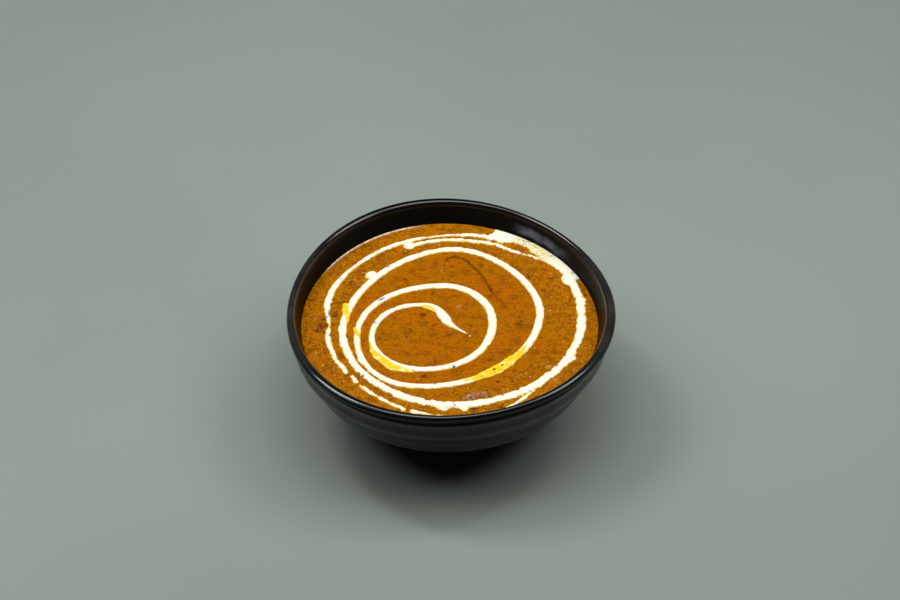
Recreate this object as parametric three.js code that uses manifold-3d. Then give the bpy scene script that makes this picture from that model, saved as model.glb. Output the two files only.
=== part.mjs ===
// Dal makhani in its bowl: a thick lentil curry with a poured spiral of cream, a little butter and
// kidney beans, in a black bowl with a round lip, a softly ridged wall and a slightly three-sided rim.
// Millimetres and degrees. +Z is up, +X is right and +Y is to the back.
// The origin is on the table, under the middle of the bowl's outline.

import * as THREE from "three";
import { mergeVertices } from "three/addons/utils/BufferGeometryUtils.js";
import Module from "manifold-3d";

// ---------------------------------------------------------------- driving dimensions

const GAP = 0.3; // left between pieces that touch

const BOWL = {
  axis: [-1, -1], // where the potter's axis stands, from the middle of the outline
  height: 58,
  rimRadius: 76, // to the outside of the lip, on average round the bowl
  lipRadius: 2, // of the round bead along the top edge
  lobes: 3,
  lobeDepth: 1.7, // how far each rounded side swells past the average circle
  lobeFade: 10, // how fast the swelling fades out below the rim
  lobeTurn: -15, // bearing of the middle of the first rounded side
  footRadius: 39,
  footWidth: 4.5,
  footHeight: 5.2,
  footRecess: 3.4, // depth of the hollow inside the foot ring
  segments: 60,
};

// The wall's outside from the foot up to the lip, as [radius, height]: two soft ridges stand out of it,
// the lower one at 28.4 and the upper one at 42.7.
const WALL_OUTSIDE = [
  [41.0, 6.8],
  [48.2, 10.9],
  [55.8, 16.4],
  [61.8, 22.2],
  [66.6, 28.4],
  [68.8, 32.8],
  [70.6, 37.4],
  [73.0, 42.7],
  [73.5, 47.6],
  [73.9, 51.2],
  [73.6, 53.2],
];
const WALL_OUTSIDE_STEPS = 14;

// The smooth inside from the middle of the floor up to the lip, as [radius, height].
const WALL_INSIDE = [
  [0, 8.6],
  [16, 8.9],
  [30, 10.8],
  [42, 15.2],
  [52, 22.0],
  [59.5, 29.6],
  [65, 37.5],
  [68.6, 45.0],
  [70.9, 51.5],
  [72, 56.0],
];
const WALL_INSIDE_STEPS = 10;

const LIP_ANGLES = [135, 90, 45, 0, -40]; // round the bead, from the inside over the top to the outside

const CURRY = {
  level: 46.4, // height of the surface above the table
  rise: 0.4, // how far the edge climbs the wall
  riseWidth: 1.6,
  rings: [0, 24, 46, 60], // radii of the surface's rings inside the edge
  undersideSteps: 8,
};

const DRIZZLE = {
  height: 0.85, // of the cream above the curry
  butterHeight: 1.0,
  step: 4.6, // spacing of the sections along a band
  wobble: 0.1, // share of the width that the pouring hand varies
  wobbleLength: 31,
};

// The cream's spiral starts with this lead-in at the middle, as [x, y, width of the band].
const LEAD_IN = [
  [7.3, -9.9, 0.7],
  [2.9, -6.6, 1.6],
  [-1.2, -2.9, 3.3],
  [-3.0, 0.9, 4.2],
  [-5.2, 5.0, 3.4],
  [-8.0, 8.4, 2.4],
  [-11.6, 9.5, 2.7],
];

// From there it runs anticlockwise, seen from above, through its farthest points at the back, left, front
// and right of each turn. Between two of them it is a quarter of a superellipse: a fullness of 2 is a
// quarter ellipse, more is squarer and less is flatter.
const TURNS = [
  { side: "back", x: -16.0, y: 9.4, width: 3.0, fullness: 2.04 },
  { side: "left", x: -36.7, y: -12.4, width: 3.2, fullness: 1.95 },
  { side: "front", x: -12.6, y: -33.7, width: 3.3, fullness: 2.1 },
  { side: "right", x: 19.5, y: -2.2, width: 4.4, fullness: 2.0 },
  { side: "back", x: -3.7, y: 22.9, width: 3.9, fullness: 2.08 },
  { side: "left", x: -43.5, y: -11.0, width: 3.2, fullness: 2.22 },
  { side: "front", x: -12.4, y: -44.6, width: 3.5, fullness: 1.98 },
  { side: "right", x: 41.9, y: 5.8, width: 4.1, fullness: 1.72 },
  { side: "back", x: 1.9, y: 49.4, width: 3.6, fullness: 1.82 },
  { side: "left", x: -50.4, y: -7.8, width: 4.0, fullness: 1.87 },
  { side: "front", x: -0.4, y: -56.2, width: 4.4, fullness: 2.0 },
  { side: "right", x: 61.2, y: 1.8, width: 4.4, fullness: 2.55 },
  { side: "back", x: 0.7, y: 55.0, width: 4.8 },
];
const LAST_QUARTER_SHARE = 0.55; // the spiral ends part of the way along its last quarter, in the pool

// Cream bands beside the spiral, as [x, y, width]: a back strand, a strand along the wall, its broken
// end, and a strand that runs out to the front wall.
const CREAM_STRANDS = [
  [
    [46.5, 42.4, 2.4],
    [32.8, 47.5, 2.3],
    [18.9, 54.0, 2.8],
    [2.9, 56.3, 2.8],
    [-9.5, 55.4, 2.6],
    [-19.9, 51.8, 3.4],
  ],
  [
    [23.8, 58.9, 3.0],
    [8.4, 60.1, 3.0],
    [-7.0, 59.1, 1.6],
    [-20.4, 55.6, 2.8],
    [-34.4, 48.2, 2.9],
    [-45.8, 37.3, 2.5],
    [-54.0, 25.3, 3.2],
    [-58.1, 12.5, 4.0],
    [-57.9, 3.0, 2.8],
    [-56.6, -4.8, 1.3],
    [-56.9, -12.9, 2.7],
    [-53.2, -26.1, 2.7],
    [-47.2, -35.5, 2.9],
  ],
  [
    [-44.6, -38.3, 2.6],
    [-41.3, -43.4, 2.3],
    [-31.4, -52.5, 2.1],
    [-20.9, -58.9, 2.6],
  ],
  [
    [-17.2, -60.3, 2.8],
    [-10.0, -62.1, 1.5],
    [-3.4, -63.0, 0.9],
  ],
  [
    [39.3, -44.2, 2.6],
    [32.8, -50.5, 1.8],
    [21.7, -59.3, 1.4],
  ],
];

// The pool of cream against the wall at the back right, by bearing round the bowl's axis.
const POOL = {
  bearings: [73.2, 69.2, 65.2, 61.2, 57.3, 51.2, 45.2, 38.1, 31.0, 24.9],
  insides: [64.2, 61.5, 59.9, 62.0, 63.9, 63.5, 63.7, 63.3, 63.1, 64.9], // radius of its inner edge
  overrun: 1.6, // its band runs this far past the curry's edge, and is cut off there
  endWidth: 1.6,
};

// Spots where the cream has run together, as [x, y, length, width, bearing of the length].
const CREAM_SPOTS = [
  [-38.4, 30.6, 6.6, 5.2, 40],
  [-20.1, 52.0, 6.4, 5.2, 0],
  [54.9, -26.5, 6.4, 4.6, 60],
  [55.3, 27.0, 7.6, 5.0, 110],
  [62.8, 12.5, 5.4, 3.2, 95],
  [-3.8, -57.9, 6.6, 3.6, -15],
  [5.9, -58.3, 5.2, 4.2, -60],
];

// Butter that has melted over the cream, as [x, y, width].
const BUTTER_STRANDS = [
  [
    [35.4, -17.8, 0.9],
    [30.8, -24.3, 3.4],
    [23.0, -32.4, 5.2],
    [14.1, -38.1, 4.2],
    [5.3, -41.6, 0.9],
  ],
  [
    [-37.1, -16.5, 0.9],
    [-35.3, -22.5, 2.4],
    [-28.7, -29.8, 3.3],
    [-18.4, -34.9, 0.9],
  ],
  [
    [-50.0, 9.1, 1.0],
    [-49.0, 3.8, 2.5],
    [-48.2, -2.5, 0.8],
  ],
  [
    [-45.0, -6.4, 1.0],
    [-43.7, -9.4, 2.4],
    [-42.4, -13.5, 0.8],
  ],
  [
    [-13.2, 8.7, 0.9],
    [-10.0, 7.6, 2.5],
    [-7.8, 4.6, 0.8],
  ],
];

// Lentils just under the surface, as low bumps along a sunflower spiral.
const LENTILS = {
  seeds: 104, // places tried
  reach: 64, // radius that they keep within
  length: 4.6,
  width: 3.4,
  height: 0.5, // above the curry
  clear: 0.7, // kept from cream, beans and each other
  jitter: 1.6,
  around: 7,
  down: 6,
  seed: 7,
};

// Kidney beans that break the surface. The bean bends towards its narrow side.
const BEANS = [
  {
    name: "kidney_bean_front",
    at: [10.9, -50.1],
    length: 14.4,
    width: 5.8,
    depth: 5.6,
    showing: 1.2,
    bearing: 12,
  },
  {
    name: "kidney_bean_left",
    at: [-60.6, -5.6],
    length: 9.6,
    width: 4.8,
    depth: 4.8,
    showing: 0.9,
    bearing: 78,
  },
];
const BEAN_BEND = 0.022; // sideways bow for each square millimetre along the bean
const BEAN_BLUNT = 0.82; // below 1 the ends are blunter than a stretched ball's
const BEAN_AROUND = 14;
const BEAN_DOWN = 10;

// ---------------------------------------------------------------- materials

const glazeMaterial = new THREE.MeshStandardMaterial({
  color: 0x17191a,
  roughness: 0.32,
  metalness: 0,
});
const curryMaterial = new THREE.MeshStandardMaterial({
  color: 0xa75f0a,
  roughness: 0.42,
  metalness: 0,
});
const creamMaterial = new THREE.MeshStandardMaterial({
  color: 0xf7f2d8,
  roughness: 0.35,
  metalness: 0,
});
const butterMaterial = new THREE.MeshStandardMaterial({
  color: 0xf2c51f,
  roughness: 0.25,
  metalness: 0,
});
const beanMaterial = new THREE.MeshStandardMaterial({
  color: 0x6e4126,
  roughness: 0.5,
  metalness: 0,
});

// ---------------------------------------------------------------- solids

const wasm = await Module();
wasm.setup();

const WELD = 1e-4; // vertices closer than this are one
const FULL_TURN = Math.PI * 2;

// A geometry with shared vertices and without the faces that have closed up at a pole.
function welded(geometry) {
  geometry.deleteAttribute("normal");
  geometry.deleteAttribute("uv");
  const merged = mergeVertices(geometry, WELD);
  const corners = merged.index.array;
  const kept = [];
  for (let i = 0; i < corners.length; i += 3) {
    const [a, b, c] = [corners[i], corners[i + 1], corners[i + 2]];
    if (a !== b && b !== c && c !== a) kept.push(a, b, c);
  }
  merged.setIndex(kept);
  return merged;
}

// A closed geometry as a solid. The mark tells later which faces came from it.
function solidOf(geometry, mark) {
  const merged = welded(geometry);
  const triVerts = new Uint32Array(merged.index.array);
  const mesh = new wasm.Mesh({
    numProp: 3,
    vertProperties: merged.attributes.position.array,
    triVerts,
    runIndex: new Uint32Array([0, triVerts.length]),
    runOriginalID: new Uint32Array([mark]),
  });
  return new wasm.Manifold(mesh);
}

// A solid as a geometry, with one group for each run of faces: materialOf gives a mark's material index.
function geometryOf(solid, materialOf) {
  const mesh = solid.getMesh();
  const geometry = new THREE.BufferGeometry();
  geometry.setAttribute("position", new THREE.BufferAttribute(mesh.vertProperties, 3));
  geometry.setIndex(new THREE.BufferAttribute(mesh.triVerts, 1));
  mesh.runOriginalID.forEach((mark, run) => {
    const start = mesh.runIndex[run];
    geometry.addGroup(start, mesh.runIndex[run + 1] - start, materialOf.get(mark) ?? 0);
  });
  const flat = geometry.toNonIndexed();
  flat.computeVertexNormals();
  return flat;
}

// ---------------------------------------------------------------- the bowl's form

const radians = THREE.MathUtils.degToRad;

// The three rounded sides: a circle of this radius, as it really runs at this bearing. The swelling fades
// out towards the axis, so the foot is round.
function lobedRadius(radius, bearing) {
  const swell = BOWL.lobeDepth * Math.cos(BOWL.lobes * (bearing - radians(BOWL.lobeTurn)));
  return radius + swell * (radius / BOWL.rimRadius) ** BOWL.lobeFade;
}

// A point of the bowl or the curry, from its radius round the bowl's axis.
function onBowl(radius, bearing) {
  const real = lobedRadius(radius, bearing);
  return [
    BOWL.axis[0] + real * Math.cos(bearing),
    BOWL.axis[1] + real * Math.sin(bearing),
  ];
}

// A profile of [radius, height] points turned round the bowl's axis, with the three rounded sides.
function turned(profile) {
  const outline = profile.map(([radius, height]) => new THREE.Vector2(radius, height));
  const geometry = new THREE.LatheGeometry(outline, BOWL.segments);
  geometry.rotateX(Math.PI / 2);
  const place = geometry.attributes.position;
  for (let i = 0; i < place.count; i++) {
    const radius = Math.hypot(place.getX(i), place.getY(i));
    const bearing = Math.atan2(place.getY(i), place.getX(i));
    const [x, y] = onBowl(radius, bearing);
    place.setXY(i, x, y);
  }
  return geometry;
}

// A smooth line through [radius, height] points, in evenly long steps.
function smooth(points, steps) {
  const curve = new THREE.SplineCurve(points.map(([r, z]) => new THREE.Vector2(r, z)));
  return curve.getSpacedPoints(steps).map((point) => [point.x, point.y]);
}

// The bead along the top edge, from the inside to the outside.
function lipArc() {
  const middle = BOWL.rimRadius - BOWL.lipRadius;
  const height = BOWL.height - BOWL.lipRadius;
  return LIP_ANGLES.map((degrees) => [
    middle + BOWL.lipRadius * Math.cos(radians(degrees)),
    height + BOWL.lipRadius * Math.sin(radians(degrees)),
  ]);
}

function bowlGeometry() {
  const inside = smooth(WALL_INSIDE, WALL_INSIDE_STEPS);
  const outside = smooth(WALL_OUTSIDE, WALL_OUTSIDE_STEPS).reverse();
  const edge = 0.5; // the small rounding of the foot ring's edges
  const footInside = BOWL.footRadius - BOWL.footWidth;
  const underside = [
    [BOWL.footRadius + edge, BOWL.footHeight],
    [BOWL.footRadius, edge],
    [BOWL.footRadius - edge, 0],
    [footInside + edge, 0],
    [footInside - edge, BOWL.footRecess - edge],
    [footInside - 4 * edge, BOWL.footRecess],
    [0, BOWL.footRecess],
  ];
  const profile = [...inside, ...lipArc(), ...outside, ...underside];
  return turned(profile.reverse());
}

// ---------------------------------------------------------------- the curry's body

// Radius of the bowl's inside at a height.
function insideRadius(height) {
  const line = smooth(WALL_INSIDE, 200);
  const above = line.findIndex(([, z]) => z >= height);
  const [r0, z0] = line[above - 1];
  const [r1, z1] = line[above];
  return r0 + ((r1 - r0) * (height - z0)) / (z1 - z0);
}

const curryEdge = insideRadius(CURRY.level + CURRY.rise) - GAP;

function curryGeometry() {
  const top = CURRY.level + CURRY.rise;
  const shell = smooth(WALL_INSIDE, 200);
  const wet = shell.filter(([, z]) => z < top - 1);
  const underside = [];
  for (let i = 0; i < CURRY.undersideSteps; i++) {
    const at = Math.round((i * (wet.length - 2)) / (CURRY.undersideSteps - 1));
    const [r, z] = wet[at];
    const [nextR, nextZ] = wet[at + 1];
    const length = Math.hypot(nextR - r, nextZ - z);
    const inward = (GAP * (nextZ - z)) / length;
    const upward = (GAP * (nextR - r)) / length;
    underside.push([Math.max(r - inward, 0), z + upward]);
  }
  underside[0][0] = 0;
  const surface = [...CURRY.rings, curryEdge - CURRY.riseWidth].map((r) => [r, CURRY.level]);
  const profile = [
    ...underside,
    [curryEdge, top],
    [curryEdge - CURRY.riseWidth * 0.4, CURRY.level + CURRY.rise * 0.35],
    ...surface.reverse(),
  ];
  return turned(profile);
}

// ---------------------------------------------------------------- cream and butter

// A point part of the way along the quarter from one farthest point to the next.
function alongQuarter(from, to, share) {
  const angle = (share * Math.PI) / 2;
  const power = 2 / from.fullness;
  const early = Math.cos(angle) ** power;
  const late = Math.sin(angle) ** power;
  const startsLevel = from.side === "back" || from.side === "front";
  const width = from.width + (to.width - from.width) * share;
  if (startsLevel)
    return [from.x + (to.x - from.x) * late, to.y + (from.y - to.y) * early, width];
  return [to.x + (from.x - to.x) * early, from.y + (to.y - from.y) * late, width];
}

// A smooth line through [x, y, width] points.
function throughPoints(points, steps) {
  const curve = new THREE.CatmullRomCurve3(points.map((p) => new THREE.Vector3(...p)));
  return curve.getPoints(steps).map((p) => [p.x, p.y, p.z]);
}

// The whole spiral, closely spaced.
function spiralLine() {
  const stepsEach = 40;
  const first = TURNS[0];
  const start = throughPoints([...LEAD_IN, [first.x, first.y, first.width]], stepsEach);
  const line = start.slice(0, -1);
  for (let turn = 0; turn + 1 < TURNS.length; turn++) {
    const last = turn + 2 === TURNS.length;
    const share = last ? LAST_QUARTER_SHARE : 1;
    for (let i = 0; i < stepsEach; i++)
      line.push(alongQuarter(TURNS[turn], TURNS[turn + 1], (share * i) / stepsEach));
  }
  return line;
}

// The same line with evenly spaced points, and a width that wavers a little.
function evenly(line, step) {
  const reached = [0];
  for (let i = 1; i < line.length; i++)
    reached.push(
      reached[i - 1] + Math.hypot(line[i][0] - line[i - 1][0], line[i][1] - line[i - 1][1]),
    );
  const length = reached[line.length - 1];
  const count = Math.max(2, Math.round(length / step));
  const even = [];
  let at = 0;
  for (let i = 0; i <= count; i++) {
    const goal = (length * i) / count;
    while (at < line.length - 2 && reached[at + 1] < goal) at++;
    const share = (goal - reached[at]) / (reached[at + 1] - reached[at]);
    const [x, y, width] = line[at].map((value, k) => value + (line[at + 1][k] - value) * share);
    const waver = Math.sin((FULL_TURN * goal) / DRIZZLE.wobbleLength);
    even.push([x, y, width * (1 + DRIZZLE.wobble * waver)]);
  }
  return even;
}

// A band's section across it, as [share of the half width, share of the height above the curry].
const BAND_SECTION = [
  [-1.2, -0.6],
  [-0.62, 0.82],
  [0, 1],
  [0.62, 0.82],
  [1.2, -0.6],
];

// A low rounded band along evenly spaced [x, y, width] points, sunk a little into the curry.
function bandGeometry(line, height) {
  const positions = [];
  line.forEach(([x, y, width], i) => {
    const before = line[Math.max(i - 1, 0)];
    const after = line[Math.min(i + 1, line.length - 1)];
    const length = Math.hypot(after[0] - before[0], after[1] - before[1]);
    const left = [-(after[1] - before[1]) / length, (after[0] - before[0]) / length];
    for (const [across, up] of BAND_SECTION) {
      const aside = (across * width) / 2;
      positions.push(x - left[0] * aside, y - left[1] * aside, CURRY.level + up * height);
    }
  });
  const count = BAND_SECTION.length;
  const faces = [];
  for (let i = 0; i + 1 < line.length; i++)
    for (let k = 0; k < count; k++) {
      const a = i * count + k;
      const b = i * count + ((k + 1) % count);
      faces.push(a, b, a + count, b, b + count, a + count);
    }
  const lastSection = (line.length - 1) * count;
  for (let k = 1; k + 1 < count; k++) {
    faces.push(0, k + 1, k);
    faces.push(lastSection, lastSection + k, lastSection + k + 1);
  }
  const geometry = new THREE.BufferGeometry();
  geometry.setAttribute("position", new THREE.Float32BufferAttribute(positions, 3));
  geometry.setIndex(faces);
  return geometry;
}

// A smooth band through a few [x, y, width] points.
function strandGeometry(points, height) {
  return bandGeometry(evenly(throughPoints(points, 60), DRIZZLE.step), height);
}

// The pool of cream along the wall: a band whose width runs from its inner edge to near the wall.
function poolGeometry() {
  const line = POOL.bearings.map((degrees, i) => {
    const bearing = radians(degrees);
    const atEnd = i === 0 || i === POOL.bearings.length - 1;
    const outside = curryEdge + POOL.overrun;
    const inside = atEnd ? outside - POOL.endWidth : POOL.insides[i];
    const [x, y] = onBowl((inside + outside) / 2, bearing);
    return [x, y, outside - inside];
  });
  return strandGeometry(line, DRIZZLE.height);
}

// The room inside the wall near the curry's surface, with the gap kept.
function wallLimitGeometry() {
  const low = CURRY.level - 2;
  const high = CURRY.level + 3;
  return turned([
    [0, low],
    [insideRadius(low) - GAP, low],
    [insideRadius(high) - GAP, high],
    [0, high],
  ]);
}

// A low round-topped spot, as a flattened ball.
function spotGeometry([x, y, length, width, bearing], height, around, down) {
  const ball = new THREE.SphereGeometry(1, around, down);
  ball.rotateX(Math.PI / 2);
  ball.scale(length / 2, width / 2, height * 1.6);
  ball.rotateZ(radians(bearing));
  ball.translate(x, y, CURRY.level - height * 0.6);
  return ball;
}

// ---------------------------------------------------------------- beans and lentils

// A kidney bean: a ball stretched along its length and bowed sideways.
function beanGeometry({ at, length, width, depth, showing, bearing }, grow) {
  const bean = new THREE.SphereGeometry(1, BEAN_AROUND, BEAN_DOWN);
  bean.rotateZ(Math.PI / 2);
  const place = bean.attributes.position;
  for (let i = 0; i < place.count; i++) {
    const along = place.getX(i);
    place.setX(i, Math.sign(along) * Math.abs(along) ** BEAN_BLUNT);
  }
  bean.scale(length / 2 + grow, width / 2 + grow, depth / 2 + grow);
  for (let i = 0; i < place.count; i++)
    place.setY(i, place.getY(i) - BEAN_BEND * place.getX(i) ** 2);
  bean.rotateZ(radians(bearing));
  bean.translate(at[0], at[1], CURRY.level + showing - depth / 2);
  return bean;
}

// A repeatable random number from 0 to 1 at each call.
function seededRandom(seed) {
  let state = seed;
  return () => {
    state = (Math.imul(state, 1664525) + 1013904223) >>> 0;
    return state / 2 ** 32;
  };
}

// Places of the lentils, as spots: on a sunflower spiral, where nothing else lies.
function lentilSpots(bands) {
  const random = seededRandom(LENTILS.seed);
  const goldenAngle = FULL_TURN * (1 - 2 / (1 + Math.sqrt(5)));
  const reach = LENTILS.length / 2 + LENTILS.clear;
  const spots = [];
  for (let i = 0; i < LENTILS.seeds; i++) {
    const radius = LENTILS.reach * Math.sqrt((i + 0.5) / LENTILS.seeds);
    const x = BOWL.axis[0] + radius * Math.cos(i * goldenAngle) + LENTILS.jitter * (random() - 0.5);
    const y = BOWL.axis[1] + radius * Math.sin(i * goldenAngle) + LENTILS.jitter * (random() - 0.5);
    const size = 0.75 + 0.4 * random();
    const bearing = 180 * random();
    const clearOf = ([px, py], half) => Math.hypot(px - x, py - y) > half + reach;
    const clear =
      bands.every((band) => band.every((p) => clearOf(p, p[2] / 2))) &&
      BEANS.every((bean) => clearOf(bean.at, bean.length / 2)) &&
      spots.every((spot) => clearOf(spot, spot[2] / 2));
    if (clear) spots.push([x, y, LENTILS.length * size, LENTILS.width * size, bearing]);
  }
  return spots;
}

// ---------------------------------------------------------------- the model

const curryMark = wasm.Manifold.reserveIDs(3);
const creamMark = curryMark + 1;
const butterMark = curryMark + 2;
const currySlots = new Map([
  [curryMark, 0],
  [creamMark, 1],
  [butterMark, 2],
]);

function currySolid() {
  const spiral = evenly(spiralLine(), DRIZZLE.step);
  const strands = CREAM_STRANDS.map((points) => evenly(throughPoints(points, 60), DRIZZLE.step));
  const butter = BUTTER_STRANDS.map((points) => evenly(throughPoints(points, 60), DRIZZLE.step / 2));
  const lentils = lentilSpots([spiral, ...strands, ...butter]);
  let solid = solidOf(curryGeometry(), curryMark);
  for (const spot of lentils)
    solid = solid.add(
      solidOf(spotGeometry(spot, LENTILS.height, LENTILS.around, LENTILS.down), curryMark),
    );
  for (const band of [spiral, ...strands])
    solid = solid.add(solidOf(bandGeometry(band, DRIZZLE.height), creamMark));
  for (const spot of CREAM_SPOTS)
    solid = solid.add(solidOf(spotGeometry(spot, DRIZZLE.height, 12, 8), creamMark));
  const pool = solidOf(poolGeometry(), creamMark).intersect(solidOf(wallLimitGeometry(), creamMark));
  solid = solid.add(pool);
  for (const band of butter)
    solid = solid.add(solidOf(bandGeometry(band, DRIZZLE.butterHeight), butterMark));
  for (const bean of BEANS) solid = solid.subtract(solidOf(beanGeometry(bean, GAP), curryMark));
  return solid;
}

function namedMesh(name, geometry, material) {
  const mesh = new THREE.Mesh(geometry, material);
  mesh.name = name;
  return mesh;
}

const model = new THREE.Group();
model.name = "dal_makhani";

const bowl = bowlGeometry();
bowl.computeVertexNormals();
model.add(namedMesh("bowl", bowl, glazeMaterial));

const filling = new THREE.Group();
filling.name = "filling";
filling.add(
  namedMesh("dal", geometryOf(currySolid(), currySlots), [
    curryMaterial,
    creamMaterial,
    butterMaterial,
  ]),
);
for (const bean of BEANS) filling.add(namedMesh(bean.name, beanGeometry(bean, 0), beanMaterial));
model.add(filling);

export default model;
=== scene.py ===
"""Dal makhani in a black stoneware bowl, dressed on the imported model's frame.

Lengths in the classes are millimetres, bearings are degrees anticlockwise from +X round the bowl's axis,
and every mesh is turned into metres as it is made. The noises and spans of finishes and node trees are
in metres already. The table is at height 0.
"""

import logging
import math
from dataclasses import dataclass
from enum import Enum
from typing import Callable, Sequence, Union

import bpy
import numpy as np
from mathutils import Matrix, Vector


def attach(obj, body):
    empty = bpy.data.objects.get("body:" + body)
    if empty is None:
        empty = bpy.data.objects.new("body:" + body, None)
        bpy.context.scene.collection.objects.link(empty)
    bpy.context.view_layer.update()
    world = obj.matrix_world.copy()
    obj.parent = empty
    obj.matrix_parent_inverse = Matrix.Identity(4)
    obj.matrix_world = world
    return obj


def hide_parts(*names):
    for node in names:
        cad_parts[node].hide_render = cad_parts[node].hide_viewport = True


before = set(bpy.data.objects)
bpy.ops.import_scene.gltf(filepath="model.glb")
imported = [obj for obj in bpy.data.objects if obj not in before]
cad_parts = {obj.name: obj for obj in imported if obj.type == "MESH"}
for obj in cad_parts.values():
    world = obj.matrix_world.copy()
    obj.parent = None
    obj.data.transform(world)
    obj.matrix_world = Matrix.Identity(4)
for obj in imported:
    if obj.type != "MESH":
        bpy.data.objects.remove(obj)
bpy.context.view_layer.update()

log = logging.getLogger("dal_makhani")

MM = 0.001
TAU = 2.0 * math.pi
BODY = "root"
TINY = 1e-12
FINE_STEPS = 24

Array = np.ndarray
Piece = bpy.types.Object
Point = tuple[float, ...]
Points = tuple[Point, ...]
Pair = tuple[float, float]
Colour = tuple[float, float, float]
Faces = Sequence[Sequence[int]]
Values = dict[str, Array]
Socket = bpy.types.NodeSocket
Input = Union[bpy.types.NodeSocket, float, Sequence[float]]

# Odd numbers that stir a grid point's two counts and a seed into a repeatable direction.
STIR_X, STIR_Y, STIR_SEED, STIR_LAST = 374761393, 668265263, 2246822519, 1274126177
STIR_MASK = 0xFFFFFFFF
DIRECTIONS = 65536
FULL_SWING = 1.5
# A plain rule for the next draw from the last one.
DRAW_STEP, DRAW_SHIFT, DRAW_SPAN = 1664525, 1013904223, 2**32


# ---------------------------------------------------------------- small helpers


def ease(low: float, high: float, value: Array) -> Array:
    """A smooth step from 0 at low to 1 at high.

    Args:
        low: Value that gives 0.
        high: Value that gives 1.
        value: The values to ease.

    Returns:
        The eased values, from 0 to 1.
    """
    t = np.clip((value - low) / (high - low), 0.0, 1.0)
    return t * t * (3.0 - 2.0 * t)

@dataclass(frozen=True)
class Stretch:
    """A stretch of a measure that fades in and out.

    Attributes:
        start: Where it begins to fade in.
        full: Where it is full.
        last: Where it begins to fade out.
        end: Where it is gone.
    """

    start: float
    full: float
    last: float
    end: float

    def share(self, value: Array) -> Array:
        """How much each value lies in the stretch, from 0 to 1."""
        return ease(self.start, self.full, value) * ease(self.end, self.last, value)


def turned(x: Array, y: Array, at: Point, bearing: float) -> tuple[Array, Array]:
    """Distances from a place, along a bearing and across it.

    Args:
        x: Points to the right.
        y: Points to the back.
        at: The place, whose first two numbers are used.
        bearing: Degrees from +X.

    Returns:
        The distances along and across.
    """
    turn = math.radians(bearing)
    px, py = x - at[0], y - at[1]
    return px * math.cos(turn) + py * math.sin(turn), -px * math.sin(turn) + py * math.cos(turn)


def through(points: Sequence[Point], steps: int) -> Array:
    """A smooth line through points: a uniform Catmull-Rom curve, evenly spaced by length.

    Args:
        points: The points, of any dimension.
        steps: How many equal steps to return.

    Returns:
        An array of steps + 1 points.
    """
    knots = np.array(points, float)
    fine: list[Array] = []
    each = FINE_STEPS
    for i in range(len(knots) - 1):
        p0, p1 = knots[max(i - 1, 0)], knots[i]
        p2, p3 = knots[i + 1], knots[min(i + 2, len(knots) - 1)]
        for k in range(each):
            t = k / each
            v0, v1 = (p2 - p0) / 2, (p3 - p1) / 2
            fine.append(
                (2 * p1 - 2 * p2 + v0 + v1) * t**3 + (-3 * p1 + 3 * p2 - 2 * v0 - v1) * t**2 + v0 * t + p1
            )
    fine.append(knots[-1])
    return evenly(np.array(fine), steps)


def evenly(line: Array, steps: int) -> Array:
    """A line with equally long steps in its first two coordinates.

    Args:
        line: The line's points.
        steps: How many steps to return.

    Returns:
        An array of steps + 1 points.
    """
    reached = np.concatenate([[0.0], np.cumsum(np.hypot(*np.diff(line[:, :2], axis=0).T))])
    goals = np.linspace(0.0, reached[-1], steps + 1)
    return np.stack([np.interp(goals, reached, line[:, k]) for k in range(line.shape[1])], axis=1)


def spaced(line: Array, step: float) -> Array:
    """A line with steps of about one length.

    Args:
        line: The line's points.
        step: The wanted length of a step.

    Returns:
        The evenly spaced points.
    """
    length = float(np.hypot(*np.diff(line[:, :2], axis=0).T).sum())
    return evenly(line, max(2, round(length / step)))


@dataclass(frozen=True)
class Ripple:
    """Smooth repeatable noise over the plane.

    Attributes:
        size: Distance between its hills.
        seed: Which noise it is.
        swing: Height of its hills, and depth of its hollows.
    """

    size: float
    seed: int
    swing: float = 1.0

    def at(self, x: Array, y: Array) -> Array:
        """The noise at each point.

        Args:
            x: Distances to the right.
            y: Distances to the back.

        Returns:
            One value for each point.
        """
        u, v = np.asarray(x, float) / self.size, np.asarray(y, float) / self.size
        iu, iv = np.floor(u).astype(np.int64), np.floor(v).astype(np.int64)
        fu, fv = u - iu, v - iv
        total = np.zeros_like(u)
        wu, wv = fu**3 * (fu * (fu * 6 - 15) + 10), fv**3 * (fv * (fv * 6 - 15) + 10)
        for du in (0, 1):
            for dv in (0, 1):
                code = (iu + du) * STIR_X + (iv + dv) * STIR_Y + self.seed * STIR_SEED
                code = (code ^ (code >> 13)) * STIR_LAST & STIR_MASK
                angle = (code ^ (code >> 16)) % DIRECTIONS / DIRECTIONS * TAU
                slope = np.cos(angle) * (fu - du) + np.sin(angle) * (fv - dv)
                total += slope * (wu if du else 1 - wu) * (wv if dv else 1 - wv)
        return self.swing * (total * FULL_SWING)


def write_values(mesh: bpy.types.Mesh, values: Values) -> None:
    """Writes named numbers on a mesh.

    Args:
        mesh: The mesh.
        values: One number for each vertex, under each name.
    """
    for label, numbers in values.items():
        layer = mesh.attributes.new(label, "FLOAT", "POINT")
        layer.data.foreach_set("value", np.asarray(numbers, np.float32))


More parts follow.
